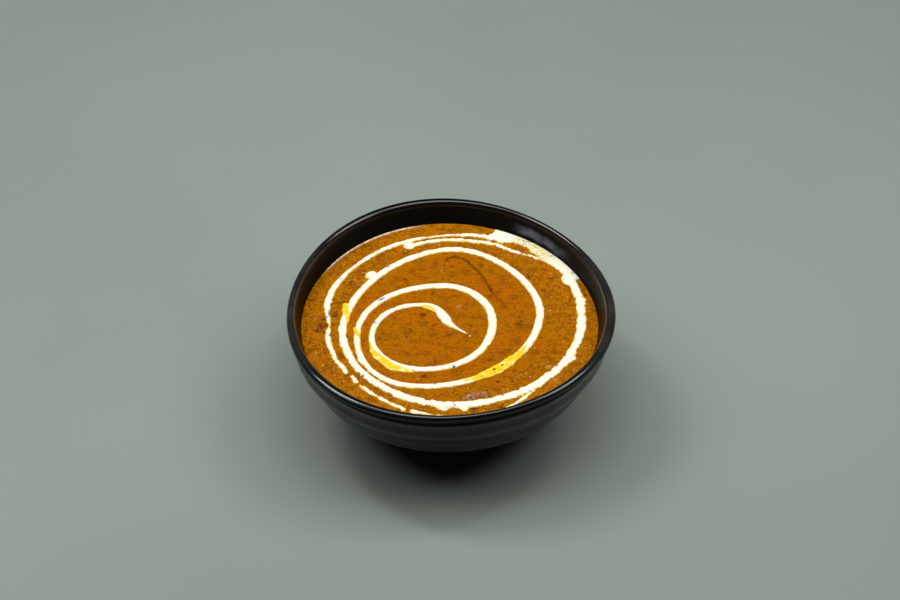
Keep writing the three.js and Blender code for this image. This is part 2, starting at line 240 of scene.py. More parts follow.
def make_piece(
    name: str, vertices: Array, faces: Faces, material: bpy.types.Material, values: Values
) -> Piece:
    """A smooth mesh object from millimetres.

    Args:
        name: The object's name.
        vertices: Corner points in millimetres.
        faces: Corners of each face.
        material: The finish.
        values: Named numbers, one for each vertex.

    Returns:
        The object, at the origin.
    """
    mesh = bpy.data.meshes.new(name)
    mesh.from_pydata((np.asarray(vertices) * MM).tolist(), [], [list(map(int, f)) for f in faces])
    mesh.validate()
    mesh.polygons.foreach_set("use_smooth", [True] * len(mesh.polygons))
    write_values(mesh, values)
    mesh.materials.append(material)
    mesh.update()
    piece = bpy.data.objects.new(name, mesh)
    bpy.context.scene.collection.objects.link(piece)
    return piece


def ring_faces(around: int, rings: int) -> list[tuple[int, ...]]:
    """Faces of a closed ball of rings between two end points.

    Args:
        around: Points of each ring; the first end point comes before them, the other after them.
        rings: How many rings there are.

    Returns:
        A fan at the first end, bands between the rings and a fan at the other end.
    """
    faces: list[tuple[int, ...]] = [(0, 1 + k, 1 + (k + 1) % around) for k in range(around)]
    last = 1 + (rings - 1) * around
    for base in range(1, last, around):
        for k in range(around):
            a, b = base + k, base + (k + 1) % around
            faces.append((a, a + around, b + around, b))
    faces += [(last + k, last + around, last + (k + 1) % around) for k in range(around)]
    return faces


def vertices_of(piece: Piece) -> Array:
    """A piece's vertices.

    Args:
        piece: The piece.

    Returns:
        One row of millimetres for each vertex.
    """
    flat = np.empty(len(piece.data.vertices) * 3, np.float32)
    piece.data.vertices.foreach_get("co", flat)
    return flat.reshape(-1, 3).astype(float) / MM


def face_outwards(piece: Piece) -> None:
    """Turns a closed mesh's faces so that its volume is positive.

    Args:
        piece: The piece.
    """
    mesh = piece.data
    mesh.calc_loop_triangles()
    corners = np.empty(len(mesh.loop_triangles) * 3, np.int32)
    mesh.loop_triangles.foreach_get("vertices", corners)
    a, b, c = np.moveaxis(vertices_of(piece)[corners.reshape(-1, 3)], 1, 0)
    if float(np.einsum("ij,ij->", a, np.cross(b, c))) < 0:
        mesh.flip_normals()


def place_piece(piece: Piece, slot: str, *nodes: str) -> None:
    """Rides a finished piece on the body and hides the CAD nodes that it replaces.

    Args:
        piece: The finished piece.
        slot: Not used.
        nodes: CAD nodes that it replaces.
    """
    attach(piece, BODY)
    if nodes:
        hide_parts(*nodes)
    log.info("%s: %d faces", piece.name, len(piece.data.polygons))


# ---------------------------------------------------------------- node trees


@dataclass(frozen=True)
class Noise:
    """A noise texture: its hills for each metre, its octaves and the weight of the finer ones."""

    scale: float
    detail: float = 2.0
    roughness: float = 0.5


@dataclass(frozen=True)
class Span:
    """The part of a value's range that counts, and what its two ends become."""

    low: float
    high: float
    first: float = 0.0
    last: float = 1.0


@dataclass(frozen=True)
class Fleck:
    """Where a second tone shows: its noise and the span of the noise that it takes."""

    noise: Noise
    span: Span


@dataclass(frozen=True)
class Grain:
    """A finish's fine relief: how strongly it shades and its depth in metres."""

    strength: float
    depth: float


class Graph:
    """A shader or geometry tree that is built by short calls."""

    def __init__(self, tree: bpy.types.NodeTree) -> None:
        """Keeps the tree to build in."""
        self.tree = tree

    def fill(self, node: bpy.types.Node, inputs: dict[str, Input]) -> None:
        """Sets or joins a node's inputs.

        Args:
            node: The node.
            inputs: Values or output sockets; an underscore stands for a space, and _N for a position.
        """
        for key, value in inputs.items():
            socket = node.inputs[int(key[1:])] if key[1:].isdigit() else node.inputs[key.replace("_", " ")]
            if isinstance(value, bpy.types.NodeSocket):
                self.tree.links.new(value, socket)
            else:
                socket.default_value = value

    def add(self, kind: str, settings: dict | None = None, **inputs: Input) -> bpy.types.Node:
        """Adds a node.

        Args:
            kind: The node's type name.
            settings: Properties to set before its inputs.
            **inputs: Its inputs, as fill() takes them.

        Returns:
            The node.
        """
        node = self.tree.nodes.new(kind)
        for key, value in (settings or {}).items():
            setattr(node, key, value)
        self.fill(node, inputs)
        return node

    def math(self, operation: str, *values: Input, clamp: bool = False) -> Socket:
        """A Math node's output.

        Args:
            operation: The operation's name.
            *values: Up to three numbers or sockets.
            clamp: Whether to keep the result from 0 to 1.

        Returns:
            The value socket.
        """
        settings = {"operation": operation, "use_clamp": clamp}
        return self.add("ShaderNodeMath", settings, **{f"_{i}": v for i, v in enumerate(values)}).outputs[0]

    def times(self, first: Input, second: Input) -> Socket:
        """The product of two values."""
        return self.math("MULTIPLY", first, second)

    def plus(self, first: Input, second: Input) -> Socket:
        """The sum of two values."""
        return self.math("ADD", first, second)

    def vector(self, operation: str, *values: Input, **inputs: Input) -> Socket:
        """A Vector Math node's output.

        Args:
            operation: The operation's name.
            *values: Vectors or sockets.
            **inputs: Its named inputs.

        Returns:
            The vector socket.
        """
        numbered = {f"_{i}": v for i, v in enumerate(values)}
        return self.add("ShaderNodeVectorMath", {"operation": operation}, **numbered, **inputs).outputs[0]

    def combine(self, x: Input = 0.0, y: Input = 0.0, z: Input = 0.0) -> Socket:
        """A vector from its three numbers."""
        return self.add("ShaderNodeCombineXYZ", X=x, Y=y, Z=z).outputs[0]

    def split(self, vector: Socket) -> Sequence[Socket]:
        """A vector's three numbers."""
        return self.add("ShaderNodeSeparateXYZ", _0=vector).outputs

    def remap(self, value: Input, span: Span) -> Socket:
        """A value's span, eased and clamped between what its ends become.

        Args:
            value: The value.
            span: The part of its range that counts.

        Returns:
            The value socket.
        """
        limits = {"_1": span.low, "_2": span.high, "_3": span.first, "_4": span.last}
        eased = self.add("ShaderNodeMapRange", {"interpolation_type": "SMOOTHSTEP"}, _0=value, **limits)
        return eased.outputs[0]

    def mix(self, share: Input, first: Input, second: Input) -> Socket:
        """A mix of two colours.

        Args:
            share: How much of the second colour.
            first: A colour or socket.
            second: A colour or socket.

        Returns:
            The colour socket.
        """
        tones = {
            key: value if isinstance(value, bpy.types.NodeSocket) else (*value, 1.0)
            for key, value in (("_6", first), ("_7", second))
        }
        return self.add("ShaderNodeMix", {"data_type": "RGBA"}, _0=share, **tones).outputs[2]

    def paint(self, tone: Input, *layers: tuple[Input, Colour]) -> Socket:
        """Lays colours over a tone.

        Args:
            tone: The colour or socket to start from.
            *layers: The share of each colour and the colour, in order.

        Returns:
            The colour socket.
        """
        for share, colour in layers:
            tone = self.mix(share, tone, colour)
        return tone

    def noise(self, where: Socket, kind: Noise) -> Socket:
        """A noise from 0 to 1 over coordinates in metres."""
        sizes = {"Scale": kind.scale, "Detail": kind.detail, "Roughness": kind.roughness}
        return self.add("ShaderNodeTexNoise", _0=where, **sizes).outputs[0]

    def fleck(self, where: Socket, kind: Fleck) -> Socket:
        """The share of a second tone at each place."""
        return self.remap(self.noise(where, kind.noise), kind.span)

    def value_of(self, name: str) -> Socket:
        """The number that a mesh carries under this name."""
        return self.add("ShaderNodeAttribute", {"attribute_name": name}).outputs["Fac"]


class Coat(Graph):
    """A new material's tree, with its main shader and object coordinates."""

    def __init__(self, name: str) -> None:
        """Makes the empty material.

        Args:
            name: The material's name.
        """
        self.material = bpy.data.materials.new(name)
        self.material.use_nodes = True
        super().__init__(self.material.node_tree)
        self.shader = self.tree.nodes["Principled BSDF"]
        self.where = self.add("ShaderNodeTexCoord").outputs["Object"]

    def bump(self, height: Socket, grain: Grain) -> Socket:
        """The shading normal of a fine relief."""
        sizes = {"Strength": grain.strength, "Distance": grain.depth}
        return self.add("ShaderNodeBump", Height=height, **sizes).outputs[0]

    def finish(self, **inputs: Input) -> bpy.types.Material:
        """Sets or joins the main shader's inputs and gives the material."""
        self.fill(self.shader, inputs)
        return self.material


class Growth(Graph):
    """A new geometry tree with named inputs, which ends in real, dressed mesh."""

    def __init__(self, name: str, sizes: dict[str, str]) -> None:
        """Makes the tree.

        Args:
            name: The tree's name.
            sizes: Its inputs by name, each with its socket's kind. Geometry and Finish are added to them.
        """
        super().__init__(bpy.data.node_groups.new(name, "GeometryNodeTree"))
        face = self.tree.interface
        for label, kind in {"Geometry": "Geometry", **sizes, "Finish": "Material"}.items():
            face.new_socket(label, in_out="INPUT", socket_type="NodeSocket" + kind)
        face.new_socket("Geometry", in_out="OUTPUT", socket_type="NodeSocketGeometry")
        self.given = self.add("NodeGroupInput").outputs

    def finish(self, shape: Socket) -> None:
        """Smooths the shape, makes it real mesh, dresses it and gives it out.

        Args:
            shape: The geometry.
        """
        smooth = self.add("GeometryNodeSetShadeSmooth", Geometry=shape).outputs[0]
        real = self.add("GeometryNodeRealizeInstances", Geometry=smooth).outputs[0]
        dressed = self.add("GeometryNodeSetMaterial", Geometry=real, Material=self.given["Finish"])
        self.add("NodeGroupOutput", _0=dressed.outputs[0])

    def grow(self, source: bpy.types.ID, settings: dict, name: str) -> Piece:
        """Runs the tree and keeps the result as a plain mesh.

        Args:
            source: The mesh or curve that the tree starts from.
            settings: The tree's inputs by name.
            name: The new piece's name.

        Returns:
            The new piece.
        """
        host = bpy.data.objects.new(name + "_source", source)
        bpy.context.scene.collection.objects.link(host)
        modifier = host.modifiers.new("grow", "NODES")
        modifier.node_group = self.tree
        for item in self.tree.interface.items_tree:
            if item.in_out == "INPUT" and item.name in settings:
                modifier[item.identifier] = settings[item.name]
        view = bpy.context.evaluated_depsgraph_get()
        mesh = bpy.data.meshes.new_from_object(host.evaluated_get(view), depsgraph=view)
        bpy.data.objects.remove(host)
        mesh.name = name
        piece = bpy.data.objects.new(name, mesh)
        bpy.context.scene.collection.objects.link(piece)
        return piece


# ---------------------------------------------------------------- finishes


@dataclass(frozen=True)
class StonewareGlaze:
    """Black satin glaze over stoneware, greyer where thin, with painted light on the shoulder, ridges, lip
    and both sides, painted shade under the lip and a painted reflection inside.
    """

    base: Colour = (0.0022, 0.0024, 0.0021)
    thin_and_painted_light: Colour = (0.150, 0.156, 0.146)
    # A painted reflection of the cream pool on the inner wall at the back right.
    painted_pool_reflection: Colour = (0.115, 0.135, 0.180)
    cloud: Noise = Noise(90.0, 4.0, 0.6)
    wear: Span = Span(0.3, 0.7, 0.45, 1.0)
    mottle: Span = Span(0.35, 0.75, 0.0, 0.04)
    streak: Fleck = Fleck(Noise(210.0, 3.0, 0.6), Span(0.34, 0.66, 0.45, 1.0))
    skin: Noise = Noise(1400.0, 2.0, 0.6)
    grain: Grain = Grain(0.02, 0.0002)
    roughness: float = 0.13
    wall_roughness: float = 0.2
    inside_roughness: float = 0.2
    gloss: float = 0.5
    wall_matt: float = 0.15
    inside_gloss: float = 0.08
    ior: float = 1.47

    def build(self) -> bpy.types.Material:
        """Makes the glaze, which reads where the wall is grey (thin glaze and painted light), dull, painted
        with a reflection, and inside.

        Returns:
            The material.
        """
        coat = Coat("glaze")
        cloud = coat.noise(coat.where, self.cloud)
        dull, inner = coat.value_of("dull"), coat.value_of("inner")
        tone = coat.paint(
            self.base,
            (coat.times(coat.value_of("thin_and_painted_light"), coat.remap(cloud, self.wear)), self.thin_and_painted_light),
            (coat.times(coat.value_of("painted_pool_reflection"), coat.fleck(coat.where, self.streak)), self.painted_pool_reflection),
        )
        rough = coat.plus(self.roughness, coat.remap(cloud, self.mottle))
        rough = coat.plus(rough, coat.times(dull, self.wall_roughness))
        rough = coat.plus(rough, coat.times(inner, self.inside_roughness))
        gloss = coat.remap(inner, Span(0.0, 1.0, self.gloss, self.inside_gloss))
        gloss = coat.math("SUBTRACT", gloss, coat.times(dull, self.wall_matt), clamp=True)
        normal = coat.bump(coat.noise(coat.where, self.skin), self.grain)
        return coat.finish(
            Base_Color=tone, Roughness=rough, Specular_IOR_Level=gloss, Normal=normal, IOR=self.ior
        )


@dataclass(frozen=True)
class CurryTone:
    """Thick lentil gravy: orange brown, finely mottled, with dark husk specks, a moist skin and a painted
    highlight along the back left wall.
    """

    base: Colour = (0.370, 0.107, 0.0001)
    warm: Colour = (0.440, 0.098, 0.0002)
    olive: Colour = (0.335, 0.117, 0.0001)
    ring: Colour = (0.372, 0.152, 0.0001)
    ember: Colour = (0.455, 0.108, 0.0006)
    dull: Colour = (0.170, 0.049, 0.0002)
    dark: Colour = (0.050, 0.014, 0.0006)
    pale: Colour = (0.56, 0.27, 0.060)
    husk: Colour = (0.180, 0.044, 0.004)
    # Colour of the painted highlight on the meniscus along the back left wall.
    painted_glint: Colour = (0.98, 0.78, 0.52)
    patches: Fleck = Fleck(Noise(60.0, 3.0, 0.55), Span(0.38, 0.62))
    warmth: Fleck = Fleck(Noise(1150.0, 1.0, 0.6), Span(0.52, 0.68, 0.0, 0.75))
    clouds: Fleck = Fleck(Noise(240.0, 3.0, 0.65), Span(0.48, 0.64, 0.0, 0.50))
    grains: Fleck = Fleck(Noise(820.0, 2.0, 0.6), Span(0.50, 0.66, 0.0, 0.60))
    embers: Fleck = Fleck(Noise(700.0, 2.0, 0.6), Span(0.54, 0.64, 0.0, 0.55))
    clots: Fleck = Fleck(Noise(360.0, 3.0, 0.65), Span(0.50, 0.62, 0.0, 0.6))
    specks: Fleck = Fleck(Noise(850.0, 1.0, 0.5), Span(0.60, 0.67))
    crowd: Fleck = Fleck(Noise(130.0, 2.0, 0.5), Span(0.48, 0.62, 0.0, 0.65))
    flour: Fleck = Fleck(Noise(1250.0, 1.0, 0.5), Span(0.70, 0.76, 0.0, 0.45))
    stretch: Point = (0.75, 1.0, 1.0)
    ring_share: float = 0.75
    ring_crowd: float = 0.35
    grain_height: float = 0.65
    fine_height: float = 0.35
    relief: Grain = Grain(0.6, 0.0007)
    roughness: Span = Span(0.3, 0.7, 0.32, 0.50)
    sheen: float = 0.03

    def build(self) -> bpy.types.Material:
        """Makes the gravy's material, which reads the surface's own marks and its painted highlight.

        Returns:
            The material.
        """
        coat = Coat("curry")
        where, coarse = coat.where, coat.value_of("coarse")
        stretched = coat.vector("MULTIPLY", where, self.stretch)
        grain = coat.noise(stretched, self.grains.noise)
        fine = coat.noise(where, self.warmth.noise)
        crowd = coat.math("MAXIMUM", coat.fleck(where, self.crowd), coat.times(coarse, self.ring_crowd))
        tone = coat.paint(
            self.base,
            (coat.fleck(where, self.patches), self.olive),
            (coat.times(coarse, self.ring_share), self.ring),
            (coat.remap(fine, self.warmth.span), self.warm),
            (coat.fleck(stretched, self.clouds), self.dull),
            (coat.remap(grain, self.grains.span), self.dull),
            (coat.times(coat.fleck(where, self.embers), coarse), self.ember),
            (coat.times(coat.fleck(where, self.clots), coarse), self.dull),
            (coat.times(coat.fleck(stretched, self.specks), crowd), self.dark),
            (coat.times(coat.fleck(where, self.flour), coarse), self.pale),
            (coat.value_of("husk"), self.husk),
            (coat.value_of("dark"), self.dark),
            (coat.value_of("pale"), self.pale),
            (coat.value_of("painted_glint"), self.painted_glint),
        )
        height = coat.plus(coat.times(grain, self.grain_height), coat.times(fine, self.fine_height))
        rough, normal = coat.remap(grain, self.roughness), coat.bump(height, self.relief)
        return coat.finish(Base_Color=tone, Roughness=rough, Normal=normal, Specular_IOR_Level=self.sheen)


@dataclass(frozen=True)
class CreamTone:
    """Poured cream: near white, warmer along its thin edges, greyed where husks show through."""

    base: Colour = (0.88, 0.820, 0.655)
    edge: Colour = (0.80, 0.50, 0.06)
    tint: Colour = (0.80, 0.70, 0.36)
    soaked: Colour = (0.50, 0.33, 0.05)
    pepper: Colour = (0.030, 0.028, 0.010)
    cool: Colour = (0.66, 0.72, 0.70)
    grey: Colour = (0.17, 0.15, 0.13)
    patch: Noise = Noise(420.0, 3.0, 0.6)
    edge_sway: Span = Span(0.38, 0.62, -0.45, 0.25)
    edge_width: Span = Span(0.0, 0.5)
    cool_patch: Span = Span(0.35, 0.6, 0.35, 1.0)
    tint_patch: Span = Span(0.36, 0.56)
    soak: Fleck = Fleck(Noise(1100.0, 2.0, 0.6), Span(0.54, 0.64, 0.0, 0.65))
    peppering: Fleck = Fleck(Noise(1300.0, 1.0, 0.5), Span(0.62, 0.67, 0.0, 0.8))
    swell: Noise = Noise(260.0, 2.0, 0.5)
    relief: Grain = Grain(0.25, 0.0008)
    roughness: float = 0.32
    ior: float = 1.38

    def build(self) -> bpy.types.Material:
        """Makes the cream's material, which reads how deep inside its outline it is.

        Returns:
            The material.
        """
        coat = Coat("cream")
        where, tint = coat.where, coat.value_of("tint")
        patch = coat.noise(where, self.patch)
        inner = coat.plus(coat.value_of("depth"), coat.remap(patch, self.edge_sway))
        tone = coat.paint(
            self.edge,
            (coat.remap(inner, self.edge_width), self.base),
            (coat.times(coat.value_of("cool"), coat.remap(patch, self.cool_patch)), self.cool),
            (coat.times(tint, coat.remap(patch, self.tint_patch)), self.tint),
            (coat.times(tint, coat.fleck(where, self.soak)), self.soaked),
            (coat.times(tint, coat.fleck(where, self.peppering)), self.pepper),
            (coat.value_of("grey"), self.grey),
        )
        normal = coat.bump(coat.noise(where, self.swell), self.relief)
        return coat.finish(Base_Color=tone, Roughness=self.roughness, IOR=self.ior, Normal=normal)


@dataclass(frozen=True)
class ButterTone:
    """Melted butter over cream: lemon yellow, streaked, running out into the cream."""

    base: Colour = (0.80, 0.56, 0.014)
    edge: Colour = (0.70, 0.36, 0.003)
    cream: Colour = (0.90, 0.82, 0.40)
    speck: Colour = (0.06, 0.035, 0.003)
    edge_width: Span = Span(0.0, 0.7)
    streak: Noise = Noise(330.0, 3.0, 0.6)
    deep_streak: Span = Span(0.56, 0.72, 0.0, 0.5)
    cream_streak: Span = Span(0.48, 0.34, 0.0, 0.8)
    roughness: float = 0.2
    ior: float = 1.45

    def build(self) -> bpy.types.Material:
        """Makes the butter's material, which reads how deep inside its outline it is.

        Returns:
            The material.
        """
        coat = Coat("butter")
        streak = coat.noise(coat.where, self.streak)
        tone = coat.paint(
            self.edge,
            (coat.remap(coat.value_of("depth"), self.edge_width), self.base),
            (coat.remap(streak, self.deep_streak), self.edge),
            (coat.remap(streak, self.cream_streak), self.cream),
            (coat.value_of("blend"), self.cream),
            (coat.value_of("grey"), self.speck),
        )
        return coat.finish(Base_Color=tone, Roughness=self.roughness, IOR=self.ior)


@dataclass(frozen=True)
class BeanSkin:
    """Cooked kidney bean skin under a broken film of gravy: mauve brown and wrinkled, with paler bumps as
    painted highlight.
    """

    base: Colour = (0.110, 0.034, 0.012)
    pale: Colour = (0.52, 0.27, 0.150)
    gravy: Colour = (0.310, 0.092, 0.001)
    wrinkle: Noise = Noise(520.0, 3.0, 0.6)
    broken_film: Span = Span(0.48, 0.56, 0.0, 0.75)
    bumps: Fleck = Fleck(Noise(950.0, 2.0, 0.6), Span(0.40, 0.60))
    bump_height: float = 0.6
    relief: Grain = Grain(0.7, 0.0009)
    roughness: float = 0.35
    sheen: float = 0.15

    def build(self, name: str) -> bpy.types.Material:
        """Makes the skin's material, which reads how thickly the gravy lies on it.

        Args:
            name: The material's name.

        Returns:
            The material.
        """
        coat = Coat(name)
        wrinkle = coat.noise(coat.where, self.wrinkle)
        bumps = coat.noise(coat.where, self.bumps.noise)
        film = coat.math("ADD", coat.value_of("film"), coat.remap(wrinkle, self.broken_film), clamp=True)
        # The paler tone on the bumps is painted highlight.
        tone = coat.paint(self.base, (coat.remap(bumps, self.bumps.span), self.pale), (film, self.gravy))
        normal = coat.bump(coat.plus(wrinkle, coat.times(bumps, self.bump_height)), self.relief)
        return coat.finish(
            Base_Color=tone, Roughness=self.roughness, Specular_IOR_Level=self.sheen, Normal=normal
        )


RED_SKIN = BeanSkin(
    base=(0.045, 0.010, 0.003), pale=(0.29, 0.075, 0.012), gravy=(0.200, 0.045, 0.001), sheen=0.06
)


@dataclass(frozen=True)
class CrumbTone:
    """A small loose thing in the gravy, of one mottled colour."""

    name: str
    base: Colour
    other: Colour
    mottle: Fleck = Fleck(Noise(450.0, 2.0, 0.6), Span(0.38, 0.62))
    roughness: float = 0.35
    sheen: float = 0.3

    def build(self) -> bpy.types.Material:
        """Makes the crumb's material.

        Returns:
            The material.
        """
        coat = Coat(self.name)
        tone = coat.mix(coat.fleck(coat.where, self.mottle), self.base, self.other)
        return coat.finish(Base_Color=tone, Roughness=self.roughness, Specular_IOR_Level=self.sheen)


# ---------------------------------------------------------------- the bowl


@dataclass
class BowlForm:
    """Sizes of the bowl and the rules of its form."""

    axis: tuple[float, float] = (-1.0, -1.0)
    height: float = 58.0
    rim_radius: float = 76.0
    lip_radius: float = 2.0
    lobes: int = 3
    lobe_depth: float = 1.7
    lobe_fade: float = 10.0
    lobe_turn: float = -15.0
    foot_radius: float = 39.0
    foot_width: float = 4.5
    foot_height: float = 5.2
    foot_recess: float = 3.4
    wall_outside: Points = (
        (41.0, 6.8), (48.2, 10.9), (55.8, 16.4), (61.8, 22.2), (66.6, 28.4), (68.8, 32.8), (70.6, 37.4),
        (73.0, 42.7), (73.5, 47.6), (73.9, 51.2), (73.6, 53.2),
    )
    wall_inside: Points = (
        (0.0, 8.6), (16.0, 8.9), (30.0, 10.8), (42.0, 15.2), (52.0, 22.0), (59.5, 29.6), (65.0, 37.5),
        (68.6, 45.0), (70.9, 51.5), (72.0, 56.0),
    )
    ridges: tuple[float, ...] = (28.4, 42.7)
    shoulder: float = 49.5
    ridge_swell: float = 0.35
    grooves: tuple[float, ...] = (36.0, 48.6)
    groove_depth: float = 0.4
    ring_width: float = 2.0
    foot_edge: float = 0.5
    foot_blend: float = 0.9
    lip_arc: Pair = (-40.0, 172.0)
    lip_points: int = 26
    corner_points: int = 5
    outside_steps: int = 90
    inside_steps: int = 44
    wall_steps: int = 400

    def lobed(self, radius: Array, bearing: Array) -> Array:
        """A circle's radius as it really runs, with the three rounded sides.

        Args:
            radius: The circle's radius.
            bearing: Radians round the axis.

        Returns:
            The real radius.
        """
        swell = self.lobe_depth * np.cos(self.lobes * (bearing - math.radians(self.lobe_turn)))
        return radius + swell * (radius / self.rim_radius) ** self.lobe_fade

    def placed(self, radius: Array, bearing: Array) -> tuple[Array, Array]:
        """Places to the right and to the back, from circles and bearings in radians."""
        real = self.lobed(radius, bearing)
        return self.axis[0] + real * np.cos(bearing), self.axis[1] + real * np.sin(bearing)

    def polar(self, x: Array, y: Array) -> tuple[Array, Array]:
        """Points as seen from the bowl's axis.

        Args:
            x: Places to the right.
            y: Places to the back.

        Returns:
            Their distances from the axis and their bearings in radians.
        """
        px, py = x - self.axis[0], y - self.axis[1]
        return np.hypot(px, py), np.arctan2(py, px)

    def inside_radius(self, height: float) -> float:
        """The inside's circle at a height."""
        line = through(self.wall_inside, self.wall_steps)
        return float(np.interp(height, line[:, 1], line[:, 0]))

    def profile(self) -> Array:
        """The wall's whole outline, from under the middle round to the middle of the inside.

        Returns:
            Points as radius and height.
        """
        edge = self.foot_edge
        foot_inside = self.foot_radius - self.foot_width
        under = [(0.0, self.foot_recess), (foot_inside - 4 * edge, self.foot_recess)]
        under += self._corner(foot_inside - 1.5 * edge, self.foot_recess - edge, edge, 90, 0)
        under += self._corner(foot_inside + edge, edge, edge, 180, 270)
        under += self._corner(self.foot_radius - edge, edge, edge, 270, 360)
        blend = self.foot_blend
        foot, top = self.foot_radius, self.foot_height
        under += [(foot + edge, top), (foot + blend, top + blend)]
        outside = through(self.wall_outside, self.outside_steps)
        for rings, depth in ((self.ridges, self.ridge_swell), (self.grooves, -self.groove_depth)):
            for ring in rings:
                outside[:, 0] += depth * np.exp(-(((outside[:, 1] - ring) / self.ring_width) ** 2))
        middle, height = self.rim_radius - self.lip_radius, self.height - self.lip_radius
        lip = [
            (middle + self.lip_radius * math.cos(a), height + self.lip_radius * math.sin(a))
            for a in np.radians(np.linspace(*self.lip_arc, self.lip_points))
        ]
        inside = through(self.wall_inside, self.inside_steps)[::-1]
        return np.vstack([under, outside, lip, inside])

    def _corner(self, r: float, z: float, radius: float, start: float, end: float) -> list[Point]:
        """A rounded corner of the profile as a short arc."""
        angles = np.radians(np.linspace(start, end, self.corner_points))
        return [(r + radius * math.cos(a), z + radius * math.sin(a)) for a in angles]


@dataclass
class Bowl:
    """The stoneware bowl, turned from its profile by a node tree."""

    form: BowlForm
    finish: StonewareGlaze = StonewareGlaze()
    segments: int = 216
    points: int = 260
    weld: float = 0.005
    unevenness: float = 0.36
    uneven_scale: float = 1.6
    uneven_height: float = 60.0
    uneven_from: Span = Span(0.012, 0.024)
    uneven_to: Span = Span(0.050, 0.054)
    outside_half: Span = Span(0.50, 0.53, 1.0, 0.0)
    seed: float = 4.0
    wall_steps: int = 200
    wall_slack: float = 1.4
    wall_thin: float = 0.13
    wall_top: Pair = (54.6, 53.4)
    # The lighter grey on the shoulder, the ridges, the lip and towards both sides is painted light.
    painted_shoulder_light: float = 0.24
    shoulder_width: float = 2.8
    painted_ridge_light: float = 0.36
    ridge_width: float = 1.6
    front_share: float = 0.45
    painted_side_light: float = 3.3
    painted_side_power: float = 1.5
    foot_thin_width: float = 0.8
    foot_top: float = 2.0
    painted_lip_light: float = 0.18
    lip_front: float = 0.05
    lip_power: int = 4
    lip_start: Pair = (53.8, 55.0)
    # Painted shade: the grey is mostly taken off a band just under the lip, whose gloss is also dulled.
    neck: Stretch = Stretch(50.9, 51.8, 53.8, 54.6)
    neck_grey_kept: float = 0.2
    neck_dull: float = 2.0
    dull_top: float = 53.0
    inside_heights: Pair = (6.0, 55.5)
    # Where the cream pool's reflection is painted on the inner wall.
    painted_reflection_bearings: Stretch = Stretch(32.0, 46.0, 58.0, 64.0)
    painted_reflection_heights: Stretch = Stretch(47.6, 49.2, 51.2, 53.6)
    painted_reflection_sway: Ripple = Ripple(7.0, 71, 1.4)

    def turning_tree(self) -> Growth:
        """The node tree that turns a profile curve into a three-sided bowl.

        Returns:
            The tree, with inputs for segments, points, lobes, the rim's radius, unevenness, seed and axis.
        """
        kinds = {"Segments": "Int", "Points": "Int", "Axis": "Vector"}
        floats = ("Lobes", "Lobe Depth", "Lobe Fade", "Lobe Turn", "Rim Radius", "Unevenness", "Seed")
        g = Growth("bowl_turning", kinds | dict.fromkeys(floats, "Float"))
        given = g.given
        rows = g.plus(given["Segments"], 1.0)
        sides = {"Size_X": 1.0, "Size_Y": 1.0}
        grid = g.add("GeometryNodeMeshGrid", Vertices_X=rows, Vertices_Y=given["Points"], **sides).outputs[0]
        spot = g.split(g.add("GeometryNodeInputPosition").outputs[0])
        along = g.plus(spot[1], 0.5)
        bearing = g.times(g.plus(spot[0], 0.5), TAU)
        whole = {"mode": "FACTOR", "use_all_curves": False}
        sample = g.add("GeometryNodeSampleCurve", whole, Curves=given["Geometry"])
        g.tree.links.new(along, sample.inputs["Factor"])
        radius, _, height = g.split(sample.outputs["Position"])
        wave = g.math("COSINE", g.times(g.math("SUBTRACT", bearing, given["Lobe Turn"]), given["Lobes"]))
        reach = g.math("POWER", g.math("DIVIDE", radius, given["Rim Radius"]), given["Lobe Fade"])
        swell = g.times(g.times(wave, given["Lobe Depth"]), reach)
        cosine, sine = g.math("COSINE", bearing), g.math("SINE", bearing)
        ring = g.combine(cosine, sine, g.times(height, self.uneven_height))
        hand = g.add("ShaderNodeTexNoise", {"noise_dimensions": "4D"}, Vector=ring, W=given["Seed"])
        g.fill(hand, {"Scale": self.uneven_scale, "Detail": 1.0})
        below_lip = g.math("SUBTRACT", 1.0, g.remap(height, self.uneven_to))
        uneven = g.times(g.remap(height, self.uneven_from), below_lip)
        uneven = g.times(uneven, g.remap(along, self.outside_half))
        sway = g.times(g.math("SUBTRACT", hand.outputs[0], 0.5), given["Unevenness"])
        real = g.plus(g.plus(radius, swell), g.times(sway, uneven))
        place = g.vector("ADD", g.combine(g.times(cosine, real), g.times(sine, real), height), given["Axis"])
        moved = g.add("GeometryNodeSetPosition", Geometry=grid, Position=place).outputs[0]
        closed = g.add("GeometryNodeMergeByDistance", Geometry=moved, Distance=self.weld * MM)
        g.finish(closed.outputs[0])
        return g

    def build(self) -> Piece:
        """Makes the bowl as a plain mesh, with the values that its glaze reads.

        Returns:
            The piece.
        """
        form = self.form
        profile = form.profile()
        curve = bpy.data.curves.new("bowl_profile", "CURVE")
        curve.dimensions = "3D"
        line = curve.splines.new("POLY")
        line.points.add(len(profile) - 1)
        for point, (r, z) in zip(line.points, profile):
            point.co = (r * MM, 0.0, z * MM, 1.0)
        settings = {
            "Segments": self.segments,
            "Points": self.points,
            "Lobes": float(form.lobes),
            "Lobe Depth": form.lobe_depth * MM,
            "Lobe Fade": form.lobe_fade,
            "Lobe Turn": math.radians(form.lobe_turn),
            "Rim Radius": form.rim_radius * MM,
            "Unevenness": self.unevenness * MM,
            "Seed": self.seed,
            "Axis": (form.axis[0] * MM, form.axis[1] * MM, 0.0),
            "Finish": self.finish.build(),
        }
        piece = self.turning_tree().grow(curve, settings, "stoneware_bowl")
        face_outwards(piece)
        write_values(piece.data, self._glaze_values(vertices_of(piece)))
        place_piece(piece, "glaze", "bowl")
        return piece

